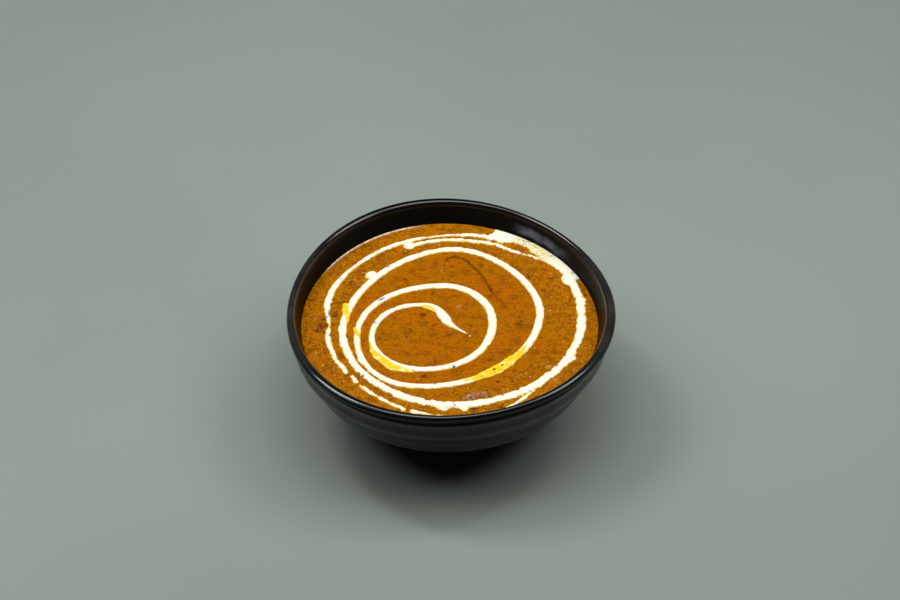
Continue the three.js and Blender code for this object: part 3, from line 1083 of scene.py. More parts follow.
    def _glaze_values(self, place: Array) -> Values:
        """Where the glaze is grey (thin glaze with painted light and shade), where it is dull, where a
        reflection of the cream is painted, and which points are inside.

        Args:
            place: The bowl's vertices.

        Returns:
            The named values.
        """
        form = self.form
        x, y, z = place.T
        radius, bearing = form.polar(x, y)
        outside = through(form.wall_outside, self.wall_steps)
        circle = np.interp(z, outside[:, 1], outside[:, 0])
        on_outside = np.abs(radius - form.lobed(circle, bearing)) < self.wall_slack
        # Painted light: the grey is raised on the shoulder and the ridges, and more at both sides than at the
        # front.
        by_shoulder = np.exp(-(((z - form.shoulder) / self.shoulder_width) ** 2))
        thin_and_painted_light = self.wall_thin + self.painted_shoulder_light * by_shoulder
        for ridge in form.ridges:
            thin_and_painted_light += np.exp(-(((z - ridge) / self.ridge_width) ** 2)) * self.painted_ridge_light
        side = np.abs(np.cos(bearing))
        thin_and_painted_light *= (self.front_share + self.painted_side_light * side**self.painted_side_power) * ease(*self.wall_top, z)
        by_foot = radius > form.foot_radius - form.foot_width - 3 * form.foot_edge
        thin_and_painted_light += np.exp(-((z / self.foot_thin_width) ** 2)) * by_foot
        thin_and_painted_light *= on_outside | (z < self.foot_top)
        # Painted light: the lip is greyer at both sides than at the front.
        thin_and_painted_light += self.painted_lip_light * (self.lip_front + side**self.lip_power) * ease(*self.lip_start, z)
        # Painted shade under the lip: most of the grey is taken off there.
        neck = on_outside * self.neck.share(z)
        thin_and_painted_light *= 1.0 - (1.0 - self.neck_grey_kept) * neck
        dull = (on_outside & (z < self.dull_top)) + self.neck_dull * neck
        low, high = self.inside_heights
        inner = ~on_outside & (z > low) & (z < high)
        # Painted reflection of the cream pool on the inner wall.
        painted_pool_reflection = self.painted_reflection_bearings.share(np.degrees(bearing)) * inner
        painted_pool_reflection *= self.painted_reflection_heights.share(z + self.painted_reflection_sway.at(x, y))
        return {"thin_and_painted_light": thin_and_painted_light, "dull": dull, "inner": inner, "painted_pool_reflection": painted_pool_reflection}


# ---------------------------------------------------------------- where everything lies


class Side(Enum):
    """Which farthest point of a turn the cream passes."""

    BACK = "back"
    LEFT = "left"
    FRONT = "front"
    RIGHT = "right"


@dataclass(frozen=True)
class Turn:
    """A farthest point of the spiral: the quarter after it has this fullness."""

    side: Side
    x: float
    y: float
    width: float
    fullness: float = 2.0


@dataclass
class PourPlan:
    """Where the cream and the butter lie on the curry, in plan."""

    form: BowlForm
    lead_in: Points = (
        (7.3, -9.9, 0.8), (2.9, -6.6, 1.9), (-0.9, -3.1, 4.1), (-2.8, 0.6, 5.3), (-5.1, 4.6, 4.6),
        (-7.8, 8.1, 3.0), (-11.6, 9.5, 2.7),
    )
    turns: tuple[Turn, ...] = (
        Turn(Side.BACK, -16.0, 9.4, 3.0, 2.04),
        Turn(Side.LEFT, -36.7, -12.4, 3.2, 1.95),
        Turn(Side.FRONT, -12.6, -33.7, 3.3, 2.1),
        Turn(Side.RIGHT, 19.5, -2.2, 4.4, 2.0),
        Turn(Side.BACK, -3.7, 22.9, 3.9, 2.08),
        Turn(Side.LEFT, -43.5, -11.0, 3.2, 2.22),
        Turn(Side.FRONT, -12.4, -44.6, 3.5, 1.98),
        Turn(Side.RIGHT, 41.9, 5.8, 4.1, 1.72),
        Turn(Side.BACK, 1.9, 49.4, 3.6, 1.82),
        Turn(Side.LEFT, -50.4, -7.8, 4.0, 1.87),
        Turn(Side.FRONT, -0.4, -56.2, 4.4, 2.0),
        Turn(Side.RIGHT, 61.2, 1.8, 4.4, 2.55),
        Turn(Side.BACK, 0.7, 55.0, 4.8),
    )
    last_share: float = 0.55
    strands: tuple[Points, ...] = (
        (
            (46.0, 40.7, 1.6), (42.6, 42.2, 1.6), (38.4, 44.7, 1.9), (32.6, 46.9, 1.9),
            (26.8, 49.9, 2.2), (18.9, 54.0, 2.8), (2.9, 56.3, 2.8), (-9.5, 55.4, 2.6),
            (-19.9, 51.8, 3.4),
        ),
        (
            (21.6, 57.6, 3.0), (8.4, 60.1, 2.8), (-7.0, 59.1, 1.6), (-20.4, 55.6, 2.8),
            (-34.4, 48.2, 2.9), (-45.8, 37.3, 2.5), (-54.0, 25.3, 3.2), (-58.1, 12.5, 4.0),
            (-57.9, 3.0, 2.8), (-56.6, -4.8, 1.3), (-56.9, -12.9, 2.7), (-53.2, -26.1, 2.7),
            (-47.2, -35.5, 2.9),
        ),
        (
            (-44.6, -38.3, 2.6), (-41.3, -43.4, 2.3), (-31.4, -52.5, 2.1), (-20.9, -58.9, 2.6),
        ),
        (
            (-17.2, -60.3, 2.8), (-10.0, -62.1, 1.5), (-3.4, -63.0, 0.9),
        ),
        (
            (40.2, -43.8, 2.4), (36.8, -47.6, 2.0), (34.0, -50.5, 1.6), (30.6, -53.8, 1.5),
            (27.0, -56.8, 1.6), (22.4, -59.6, 1.3),
        ),
    )
    spots: Points = (
        (-38.4, 30.6, 6.6, 5.2, 40.0), (-20.1, 52.0, 6.4, 5.2, 0.0), (54.9, -26.5, 6.4, 4.6, 60.0),
        (55.3, 27.0, 7.6, 5.0, 110.0), (62.8, 12.5, 5.4, 3.2, 95.0), (-3.8, -57.9, 6.6, 3.6, -15.0),
        (5.9, -58.3, 5.2, 4.2, -60.0),
    )
    pool_inner: tuple[tuple[float, float], ...] = (
        (72.3, 63.1), (68.5, 61.2), (65.4, 60.4), (62.4, 61.8), (58.0, 64.0), (53.6, 63.1),
        (49.5, 62.6), (45.4, 63.0), (41.5, 64.2), (38.1, 63.3), (31.0, 63.1), (27.0, 64.4),
        (24.4, 67.0),
    )
    pool_start: tuple[float, float] = (72.3, 70.9)
    butter: tuple[Points, ...] = (
        (
            (35.4, -17.8, 0.9), (30.9, -24.3, 4.0), (23.0, -32.2, 5.8), (14.1, -38.0, 4.4),
            (5.3, -41.6, 0.9),
        ),
        (
            (-37.1, -16.5, 0.9), (-35.6, -22.6, 3.0), (-28.9, -30.2, 4.6), (-23.5, -33.6, 3.4),
            (-17.0, -35.6, 0.9),
        ),
        ((-49.7, 9.6, 3.0), (-49.4, 5.2, 3.8), (-48.7, 1.0, 2.6), (-48.1, -2.8, 0.9)),
        ((-45.2, -6.2, 1.2), (-43.8, -9.4, 2.8), (-42.2, -14.0, 0.8)),
        ((-13.6, 8.4, 0.9), (-10.4, 7.3, 3.0), (-7.6, 4.4, 0.9)),
    )
    lead_steps: int = 60
    quarter_steps: int = 40
    strand_steps: int = 60
    cream_spacing: float = 4.6
    butter_spacing: float = 2.3
    pool_steps: int = 120
    pool_ends: Pair = (63.0, 68.5)

    def quarter(self, start: Turn, end: Turn, share: Array) -> Array:
        """Part of the superellipse quarter from one farthest point to the next.

        Args:
            start: Where the quarter leaves from.
            end: Where it arrives.
            share: How far along, from 0 to 1.

        Returns:
            Points as x, y and width.
        """
        power = 2.0 / start.fullness
        early = np.cos(share * math.pi / 2) ** power
        late = np.sin(share * math.pi / 2) ** power
        width = start.width + (end.width - start.width) * share
        if start.side in (Side.BACK, Side.FRONT):
            x, y = start.x + (end.x - start.x) * late, end.y + (start.y - end.y) * early
        else:
            x, y = end.x + (start.x - end.x) * early, start.y + (end.y - start.y) * late
        return np.stack([x, y, width], axis=1)

    def spiral(self) -> Array:
        """The main line of the cream, from the middle outwards.

        Returns:
            Points as x, y and width.
        """
        first = self.turns[0]
        parts = [through([*self.lead_in, (first.x, first.y, first.width)], self.lead_steps)[:-1]]
        quarters = list(zip(self.turns[:-1], self.turns[1:]))
        for i, (start, end) in enumerate(quarters):
            share = self.last_share if i == len(quarters) - 1 else 1.0
            shares = np.linspace(0.0, share, self.quarter_steps, endpoint=False)
            parts.append(self.quarter(start, end, shares))
        return np.vstack(parts)

    def bands(self) -> list[Array]:
        """Every band of cream and butter as evenly spaced points.

        Returns:
            Points as x, y and width, one array for each band.
        """
        cream = [self.spiral(), *(through(strand, self.strand_steps) for strand in self.strands)]
        butter = [through(strand, self.strand_steps) for strand in self.butter]
        bands = [spaced(line, self.cream_spacing) for line in cream]
        return bands + [spaced(line, self.butter_spacing) for line in butter]

    def pool(self, x: Array, y: Array) -> Array:
        """How deep inside the pool against the back right wall any points lie.

        Args:
            x: Places to the right.
            y: Places to the back.

        Returns:
            The depth from the pool's inner edge and left end.
        """
        radius, bearing = self.form.polar(x, y)
        line = through(self.pool_inner[::-1], self.pool_steps)
        outside = 90.0
        inner = np.interp(np.degrees(bearing), line[:, 0], line[:, 1], left=outside, right=outside)
        start, end = self.pool_start
        left = start + (end - start) * ease(*self.pool_ends, radius)
        return np.minimum(radius - inner, np.radians(left - np.degrees(bearing)) * radius)


# ---------------------------------------------------------------- poured layers


@dataclass
class Sheet:
    """A fine square grid over the curry that holds how deep each point lies inside a poured outline."""

    reach: float = 72.0
    pitch: float = 0.32
    empty: float = -4.0
    step: float = 0.7
    band_margin: float = 3.4
    gap_margin: float = 3.0
    bite_from: float = 0.18
    least_slope: float = 0.25
    edge_reach: float = 0.9
    inset: float = 1.001

    def __post_init__(self) -> None:
        """Lays out the grid, with nothing poured yet."""
        count = int(2 * self.reach / self.pitch) + 1
        line = np.linspace(-self.reach, self.reach, count)
        self.x, self.y = np.meshgrid(line, line, indexing="ij")
        self.depth = np.full(self.x.shape, self.empty)

    def _near_step(
        self, start: Array, end: Array, margin: float
    ) -> tuple[tuple[slice, slice], Array, Array]:
        """The grid's points near a straight step.

        Args:
            start: The step's first point.
            end: Its last point.
            margin: How far round its middle to look.

        Returns:
            The part of the grid, how far along the step each point lies, and how far away from it.
        """
        middle = ((start[0] + end[0]) / 2, (start[1] + end[1]) / 2)
        low = [int((v - margin + self.reach) / self.pitch) for v in middle]
        high = [int((v + margin + self.reach) / self.pitch) + 2 for v in middle]
        top = self.x.shape[0]
        part = slice(max(low[0], 0), min(high[0], top)), slice(max(low[1], 0), min(high[1], top))
        px, py = self.x[part] - start[0], self.y[part] - start[1]
        ex, ey = end[0] - start[0], end[1] - start[1]
        along = np.clip((px * ex + py * ey) / (ex * ex + ey * ey + TINY), 0.0, 1.0)
        return part, along, np.hypot(px - along * ex, py - along * ey)

    def pour_band(self, line: Array, blend: float) -> None:
        """Adds a band of varying width.

        Args:
            line: Points as x, y and width.
            blend: How softly it runs into what is there.
        """
        band = np.full(self.x.shape, self.empty)
        points = spaced(line, self.step)
        for start, end in zip(points[:-1], points[1:]):
            first, last = start[2], end[2]
            part, along, away = self._near_step(start, end, max(first, last) / 2 + self.band_margin)
            band[part] = np.maximum(band[part], (first + (last - first) * along) / 2 - away)
        self.merge(band, blend)

    def pour_spot(self, spot: Point, blend: float) -> None:
        """Adds an oval.

        Args:
            spot: Its x, y, length, width and bearing.
            blend: How softly it runs into what is there.
        """
        length, width, bearing = spot[2:]
        along, across = turned(self.x, self.y, spot, bearing)
        size = np.hypot(along / (length / 2), across / (width / 2))
        self.merge(np.clip((1.0 - size) * min(length, width) / 2, self.empty, None), blend)

    def merge(self, band: Array, blend: float) -> None:
        """Joins a shape to what is there with a soft fillet.

        Args:
            band: How deep each point lies inside the shape.
            blend: The fillet's width.
        """
        share = np.clip(0.5 + 0.5 * (band - self.depth) / blend, 0.0, 1.0)
        self.depth = self.depth + (band - self.depth) * share + blend * share * (1.0 - share)

    def part(self, line: Array) -> None:
        """Opens a thin gap along a line.

        Args:
            line: Points as x, y and width of the gap.
        """
        points = spaced(line, self.step)
        for start, end in zip(points[:-1], points[1:]):
            where, _, away = self._near_step(start, end, self.gap_margin)
            self.depth[where] = np.minimum(self.depth[where], away - start[2] / 2)

    def bite(self, ripple: Ripple, amount: Array | float) -> None:
        """Takes small bites out of the outline, where a noise is high.

        Args:
            ripple: The noise.
            amount: How deep the bites are.
        """
        self.depth = self.depth - amount * np.clip(ripple.at(self.x, self.y) - self.bite_from, 0.0, None)

    def ragged(self, ripple: Ripple, amount: Array | float) -> None:
        """Makes the outline uneven.

        Args:
            ripple: The noise.
            amount: How far it moves the outline.
        """
        self.depth = self.depth + amount * ripple.at(self.x, self.y)

    def keep_inside(self, limit: Array) -> None:
        """Cuts everything off where the limit is negative."""
        self.depth = np.minimum(self.depth, limit)

    def depth_at(self, x: Array, y: Array) -> Array:
        """How deep inside the outline any points lie.

        Args:
            x: Places to the right.
            y: Places to the back.

        Returns:
            The depths, read between the grid's points.
        """
        last = self.x.shape[0] - self.inset
        u = np.clip((np.asarray(x) + self.reach) / self.pitch, 0, last)
        v = np.clip((np.asarray(y) + self.reach) / self.pitch, 0, last)
        i, j = u.astype(int), v.astype(int)
        a, b = u - i, v - j
        low = self.depth[i, j] * (1 - b) + self.depth[i, j + 1] * b
        high = self.depth[i + 1, j] * (1 - b) + self.depth[i + 1, j + 1] * b
        return low * (1 - a) + high * a

    def mesh(self, sunk: float, top: Callable[..., Array]) -> tuple[Array, Faces, Array]:
        """The poured layer as a closed mesh: a top, an upright edge and a flat underside.

        Args:
            sunk: Height of the underside.
            top: Gives the top's height at x, y and depth.

        Returns:
            Vertices, faces and the depth at each vertex.
        """
        wet = self.depth > 0.0
        cell = wet[:-1, :-1] | wet[1:, :-1] | wet[:-1, 1:] | wet[1:, 1:]
        used = np.zeros(wet.shape, bool)
        for di in (0, 1):
            for dj in (0, 1):
                used[di : di + cell.shape[0], dj : dj + cell.shape[1]] |= cell
        number = np.full(wet.shape, -1, np.int64)
        number[used] = np.arange(int(used.sum()))
        gx, gy = np.gradient(self.depth, self.pitch)
        steep = np.maximum(gx * gx + gy * gy, self.least_slope)
        outside = used & ~wet
        x, y, depth = self.x.copy(), self.y.copy(), self.depth.copy()
        limit = self.edge_reach * self.pitch
        dx = np.clip(-gx * self.depth / steep, -limit, limit)
        dy = np.clip(-gy * self.depth / steep, -limit, limit)
        x[outside] += dx[outside]
        y[outside] += dy[outside]
        depth[outside] = 0.0
        px, py, pd = x[used], y[used], depth[used]
        count = len(px)
        upper = np.stack([px, py, top(px, py, pd)], axis=1)
        lower = np.stack([px, py, np.full(count, sunk)], axis=1)
        i, j = np.nonzero(cell)
        quads = np.stack([number[i, j], number[i + 1, j], number[i + 1, j + 1], number[i, j + 1]], axis=1)
        faces = [*quads, *(quads[:, ::-1] + count)]
        edges = dict.fromkeys((quad[k - 1], quad[k]) for quad in quads.tolist() for k in (1, 2, 3, 0))
        rim = [(a, b) for a, b in edges if (b, a) not in edges]
        faces += [(b, a, a + count, b + count) for a, b in rim]
        return np.vstack([upper, lower]), faces, np.concatenate([pd, np.zeros(count)])


# ---------------------------------------------------------------- the curry


@dataclass(frozen=True)
class Mark:
    """A soft oval mark on the curry: its place, size, bearing, relief and tones."""

    x: float
    y: float
    length: float
    width: float
    bearing: float = 0.0
    rise: float = 0.0
    dark: float = 0.0
    pale: float = 0.0
    husk: float = 0.0

    def share(self, x: Array, y: Array) -> Array:
        """How much of the mark any points have.

        Args:
            x: Places to the right.
            y: Places to the back.

        Returns:
            The shares, from 0 outside the mark to 1 at its middle.
        """
        along, across = turned(x, y, (self.x, self.y), self.bearing)
        size = 1.0 - (along / (self.length / 2)) ** 2 - (across / (self.width / 2)) ** 2
        return np.sqrt(np.clip(size, 0.0, 1.0))


@dataclass
class Curry:
    """The gravy's body: its surface with lentils, skin crease and marks, and its underside along the wall."""

    form: BowlForm
    plan: PourPlan
    finish: CurryTone = CurryTone()
    level: float = 46.4
    rise: float = 0.4
    rise_width: float = 1.6
    into_wall: float = 0.12
    bearings: int = 540
    rings: int = 150
    lentil_seeds: int = 104
    lentil_reach: float = 64.0
    lentil_length: float = 4.6
    lentil_width: float = 3.4
    lentil_height: float = 0.5
    lentil_clear: float = 0.7
    lentil_jitter: float = 1.6
    lentil_seed: int = 7
    lentil_sizes: Pair = (0.75, 0.4)
    lentil_sunk: float = 0.12
    lentil_share: float = 0.8
    lentil_lumps: Ripple = Ripple(1.5, 23, 0.4)
    lentil_tone: float = 0.34
    lentil_edge: Pair = (0.1, 0.9)
    swells: tuple[Ripple, ...] = (Ripple(17.0, 3, 0.10), Ripple(6.0, 5, 0.07))
    grains: tuple[Ripple, ...] = (Ripple(2.3, 8, 0.05), Ripple(1.1, 9, 0.045))
    relief_fade: float = 3.0
    grit: Ripple = Ripple(1.6, 19, 0.09)
    grit_fade: float = 2.0
    coarse_from: Pair = (38.0, 58.0)
    coarse_sway: Ripple = Ripple(12.0, 17, 5.0)
    ring_crowding: Pair = (0.985, 0.015)
    ring_power: int = 8
    mark_share: float = 0.75
    mark_lumps: Ripple = Ripple(1.4, 21, 0.8)
    mark_stretch: float = 0.6
    mark_grains: Ripple = Ripple(0.8, 22, 0.3)
    mark_edge: Pair = (0.1, 0.7)
    collar: float = 0.12
    # Where the meniscus highlight is painted along the wall.
    painted_glint_line: Pair = (1.2, 0.5)
    painted_glint_bearings: Stretch = Stretch(98.0, 112.0, 140.0, 154.0)
    painted_glint_share: float = 0.8
    painted_glint_break: Ripple = Ripple(2.0, 25, 0.9)
    open_from: Pair = (-0.5, -1.3)
    open_wall: Pair = (1.6, 2.6)
    crease_steps: int = 90
    crease_box: Point = (12, 25, 24, 26)
    crease_far: float = 9.0
    crease_fade: Pair = (0.25, 1.0)
    crease_rise: float = 0.22
    crease_width: float = 0.8
    crease_dark: float = 0.85
    crease_foot: float = 0.85
    crease_fray: Ripple = Ripple(1.3, 27, 0.7)
    crease_fray_range: Point = (0.9, 0.5, 1.4)
    under_rows: int = 12
    under_gap: float = 0.25
    under_top: float = 1.0
    wall_steps: int = 300
    crease: Points = (
        (-2.2, 41.0), (-1.0, 43.2), (2.9, 43.6), (6.9, 42.0), (10.9, 36.4), (14.5, 30.8), (17.5, 24.2),
        (20.9, 16.6), (24.8, 10.5), (26.8, 6.4),
    )
    marks: tuple[Mark, ...] = (
        Mark(-13.0, 2.8, 4.6, 3.2, 20, 0.15, dark=0.75),
        Mark(-11.8, -37.9, 5.4, 2.6, -8, 0.10, dark=0.8),
        Mark(31.8, -2.7, 6.0, 4.4, 30, 0.10, dark=0.35),
        Mark(3.9, 8.7, 4.2, 3.0, 40, 0.22, pale=0.30),
        Mark(21.5, -41.5, 2.1, 1.8, 0, 0.10, dark=1.0),
        Mark(8.8, -45.4, 1.8, 1.6, 0, 0.05, dark=1.0),
        Mark(37.8, -33.0, 1.4, 1.1, 0, 0.05, dark=0.8),
        Mark(44.6, -31.6, 3.4, 2.4, 20, 0.30, pale=0.55, husk=0.2),
        Mark(47.3, -40.8, 3.6, 2.6, -30, 0.30, pale=0.55, husk=0.3),
        Mark(-42.8, 33.5, 5.0, 2.8, 12, 0.25, husk=0.85),
        Mark(-41.6, 32.5, 3.0, 0.9, 10, 0.05, pale=0.5),
        Mark(-8.0, -10.5, 5.0, 3.6, 70, 0.10, dark=0.30),
        Mark(23.8, -22.9, 3.0, 2.2, 40, 0.12, dark=0.45),
        Mark(17.7, -27.8, 2.6, 1.6, 60, 0.10, dark=0.4),
        Mark(63.8, 16.8, 1.4, 3.0, 0, 0.10, dark=0.75, husk=0.3),
        Mark(18.4, 20.7, 3.6, 2.0, -40, 0.10, dark=0.5),
        Mark(43.3, 20.5, 1.8, 1.4, 0, 0.08, dark=0.6),
        Mark(52.7, 7.4, 3.2, 2.2, 10, 0.12, dark=0.5),
        Mark(-50.2, 10.3, 3.6, 2.0, 70, 0.12, dark=0.55),
        Mark(-21.9, 46.9, 4.0, 2.2, 20, 0.10, husk=0.6, dark=0.2),
        Mark(-47.8, 28.6, 2.4, 2.0, 40, 0.12, dark=0.5),
        Mark(-46.0, -39.3, 4.6, 2.6, 50, 0.22, husk=0.6),
        Mark(-50.8, -24.1, 3.4, 2.0, 80, 0.15, husk=0.5, dark=0.3),
        Mark(-62.3, -7.8, 2.4, 2.0, 0, 0.15, dark=0.6, husk=0.4),
        Mark(-54.4, 3.0, 4.6, 3.4, 60, 0.25, dark=0.25, husk=1.0),
        Mark(-52.0, 11.6, 5.2, 3.0, 10, 0.15, dark=0.10, husk=0.9),
        Mark(-48.9, 10.4, 3.0, 2.0, -20, 0.15, dark=0.55, husk=0.6),
        Mark(-59.4, -0.4, 3.0, 2.4, 60, 0.20, dark=0.45, husk=1.0),
        Mark(-58.0, -4.4, 4.2, 3.4, 80, 0.30, dark=0.20, husk=1.0),
        Mark(-58.4, -8.8, 3.6, 2.8, 20, 0.25, dark=0.30, husk=1.0),
        Mark(-62.2, -8.8, 2.2, 1.8, 0, 0.10, dark=0.85),
        Mark(10.4, -57.6, 3.8, 3.0, 0, 0.20, dark=0.8, husk=1.0),
        Mark(-13.6, -60.9, 2.6, 2.0, 0, 0.20, dark=0.20, husk=0.9),
        Mark(-61.6, 1.0, 3.6, 2.4, 20, 0.20, husk=0.6),
        Mark(-61.4, -27.0, 3.4, 2.4, 30, 0.20, husk=0.5, pale=0.3),
        Mark(-50.0, -25.4, 3.2, 2.4, 50, 0.20, husk=0.6, dark=0.2),
        Mark(-47.6, -37.6, 4.2, 2.6, 40, 0.20, husk=0.5),
        Mark(5.4, -51.4, 5.4, 3.0, 10, 0.25, husk=0.8, pale=0.15),
        Mark(17.6, -47.8, 3.2, 2.2, 10, 0.20, husk=0.6, pale=0.2),
        Mark(12.2, 0.4, 1.6, 1.0, 20, 0.08, dark=0.7),
        Mark(-0.9, -11.4, 3.6, 1.2, -10, 0.05, dark=0.45),
        Mark(32.2, -4.7, 5.2, 3.4, 20, 0.15, husk=0.45, dark=0.15),
        Mark(48.9, 14.7, 2.6, 1.8, 70, 0.12, dark=0.5),
        Mark(41.7, -1.3, 4.4, 2.6, 60, 0.12, husk=0.4),
    )

    def lentils(self, clear_of: Sequence[Array], beans: Sequence["KidneyBean"]) -> list[Point]:
        """Places of the lentils, on a sunflower spiral, where nothing else lies.

        Args:
            clear_of: Bands of cream and butter, as x, y and width.
            beans: The kidney beans.

        Returns:
            Spots as x, y, length, width and bearing.
        """
        state = self.lentil_seed
        golden = TAU * (1.0 - 2.0 / (1.0 + math.sqrt(5.0)))
        reach = self.lentil_length / 2 + self.lentil_clear
        taken = np.vstack([*clear_of, *[np.array([[*bean.at, bean.length]]) for bean in beans]])
        spots: list[Point] = []
        for i in range(self.lentil_seeds):
            draws = []
            for _ in range(4):
                state = (state * DRAW_STEP + DRAW_SHIFT) % DRAW_SPAN
                draws.append(state / DRAW_SPAN)
            radius = self.lentil_reach * math.sqrt((i + 0.5) / self.lentil_seeds)
            x = self.form.axis[0] + radius * math.cos(i * golden) + self.lentil_jitter * (draws[0] - 0.5)
            y = self.form.axis[1] + radius * math.sin(i * golden) + self.lentil_jitter * (draws[1] - 0.5)
            size = self.lentil_sizes[0] + self.lentil_sizes[1] * draws[2]
            near = np.hypot(taken[:, 0] - x, taken[:, 1] - y) <= taken[:, 2] / 2 + reach
            crowd = any(math.hypot(s[0] - x, s[1] - y) <= s[2] / 2 + reach for s in spots)
            if not near.any() and not crowd:
                spots.append((x, y, self.lentil_length * size, self.lentil_width * size, 180.0 * draws[3]))
        return spots

    def relief(self, x: Array, y: Array) -> Array:
        """Height of the gravy's skin over its level, without its lentils and marks."""
        swell, grain = (sum(ripple.at(x, y) for ripple in ripples) for ripples in (self.swells, self.grains))
        return swell + grain

    def coarse(self, x: Array, y: Array) -> Array:
        """How coarse the gravy is, from 0 in the middle to 1 in the ring by the wall."""
        return ease(*self.coarse_from, self.form.polar(x, y)[0] + self.coarse_sway.at(x, y))

    def build(self, lentils: list[Point], beans: Sequence["KidneyBean"], covered: Sheet) -> Piece:
        """Makes the curry's body.

        Args:
            lentils: Spots from lentils().
            beans: The beans that the skin climbs a little.
            covered: The cream and butter that lie on it.

        Returns:
            The piece.
        """
        edge = self.form.inside_radius(self.level + self.rise) + self.into_wall
        share = np.linspace(0.0, 1.0, self.rings + 1)[1:]
        even, crowded = self.ring_crowding
        circles = edge * (even * share + crowded * share**self.ring_power)
        turns = np.arange(self.bearings) / self.bearings * TAU
        radius, bearing = np.meshgrid(circles, turns, indexing="ij")
        x, y = self.form.placed(radius, bearing)
        x = np.concatenate([[self.form.axis[0]], x.ravel()])
        y = np.concatenate([[self.form.axis[1]], y.ravel()])
        from_wall = edge - np.concatenate([[0.0], radius.ravel()])
        climb = self.rise * np.clip(1.0 - from_wall / self.rise_width, 0.0, 1.0) ** 2
        coarse = self.coarse(x, y)
        z = self.level + climb + self.relief(x, y) * ease(0.0, self.relief_fade, from_wall)
        z += self.grit.at(x, y) * coarse * ease(0.0, self.grit_fade, from_wall)
        values = {label: np.zeros(len(x)) for label in ("dark", "pale", "husk")}
        self._lay_marks(lentils, x, y, z, values)
        self._crease(x, y, z, values)
        for bean in beans:
            z += self.collar * bean.collar(x, y)
        values = {label: np.clip(tone, 0.0, 1.0) for label, tone in values.items()}
        values["coarse"] = coarse
        # Painted highlight: a pale line along the wall at the back left.
        painted_glint = ease(*self.painted_glint_line, from_wall) * self._back_left(x, y)
        values["painted_glint"] = np.clip(painted_glint * (self.painted_glint_share + self.painted_glint_break.at(x, y)), 0.0, 1.0)
        room = ease(*self.open_from, covered.depth_at(x, y)) * ease(*self.open_wall, from_wall)
        for bean in beans:
            room *= 1.0 - bean.inside(x, y)
        values["room"] = room
        values["room_out"] = room * coarse
        return self._close(np.stack([x, y, z], axis=1), values)

    def _lay_marks(self, lentils: list[Point], x: Array, y: Array, z: Array, values: Values) -> None:
        """Raises and tones the skin over the lentils and the marks.

        Args:
            lentils: Spots from lentils().
            x: Places to the right.
            y: Places to the back.
            z: Heights, which it changes.
            values: Tones, which it changes.
        """
        for spot in lentils:
            share = Mark(*spot).share(x, y) * (self.lentil_share + self.lentil_lumps.at(x, y))
            z += (self.lentil_height - self.lentil_sunk) * share
            values["husk"] += self.lentil_tone * ease(*self.lentil_edge, share)
        lumps = self.mark_share + self.mark_lumps.at(x * self.mark_stretch, y) + self.mark_grains.at(x, y)
        for mark in self.marks:
            share = mark.share(x, y) * lumps
            z += mark.rise * share
            for label, tone in values.items():
                tone += getattr(mark, label) * ease(*self.mark_edge, share)

    def _crease(self, x: Array, y: Array, z: Array, values: Values) -> None:
        """Folds the skin along the crease: a low fold with a dark foot.

        Args:
            x: Places to the right.
            y: Places to the back.
            z: Heights, which it changes.
            values: Tones, which it changes.
        """
        line = through(self.crease, self.crease_steps)
        right, back, wide, deep = self.crease_box
        near = np.nonzero((np.abs(x - right) < wide) & (np.abs(y - back) < deep))[0]
        away = np.full(len(near), self.crease_far)
        share = np.zeros(len(near))
        for k, (cx, cy) in enumerate(line):
            gap = np.hypot(x[near] - cx, y[near] - cy)
            closer = gap < away
            away[closer] = gap[closer]
            share[closer] = k / len(line)
        fade = 1.0 - ease(*self.crease_fade, share)
        z[near] += self.crease_rise * np.exp(-((away / self.crease_width) ** 2)) * fade
        middle, least, most = self.crease_fray_range
        fray = np.clip(middle + self.crease_fray.at(x[near], y[near]), least, most)
        foot = np.exp(-((away / (self.crease_foot * fray)) ** 2))
        values["dark"][near] += self.crease_dark * foot * (0.5 + 0.5 * fade)

    def _back_left(self, x: Array, y: Array) -> Array:
        """How much each point lies in the back left stretch of the wall line, where the highlight is painted.
        """
        return self.painted_glint_bearings.share(np.degrees(self.form.polar(x, y)[1]) % 360.0)

    def _close(self, top: Array, values: Values) -> Piece:
        """Adds the underside along the wall and makes the piece.

        Args:
            top: The surface's vertices: its middle and then ring by ring outwards.
            values: Named numbers of these vertices.

        Returns:
            The piece.
        """
        inside = through(self.form.wall_inside, self.wall_steps)
        wet = inside[inside[:, 1] < self.level - self.under_top]
        rows = wet[np.linspace(len(wet) - 1, 0, self.under_rows).astype(int)]
        turns = np.arange(self.bearings) / self.bearings * TAU
        under = []
        for r, z in rows[:-1]:
            ring = self.form.placed(np.full(self.bearings, max(r - self.under_gap, 0.0)), turns)
            under.append(np.stack([*ring, np.full(self.bearings, z + self.under_gap)], axis=1))
        foot = np.array([[*self.form.axis, rows[-1][1] + self.under_gap]])
        vertices = np.vstack([top, *under, foot])
        faces = ring_faces(self.bearings, self.rings + len(under))
        padded = {k: np.concatenate([v, np.zeros(len(vertices) - len(v))]) for k, v in values.items()}
        piece = make_piece("curry_body", vertices, faces, self.finish.build(), padded)
        place_piece(piece, "curry", "dal")
        return piece


@dataclass(frozen=True)
class Scattering:
    """Which small things lie on the curry, how many and how large."""

    name: str
    finish: CrumbTone
    density: float
    small: float
    large: float
    flatness: float
    length: float
    sink: float
    layer: str = "room"
    detail: int = 2
    seed: int = 1


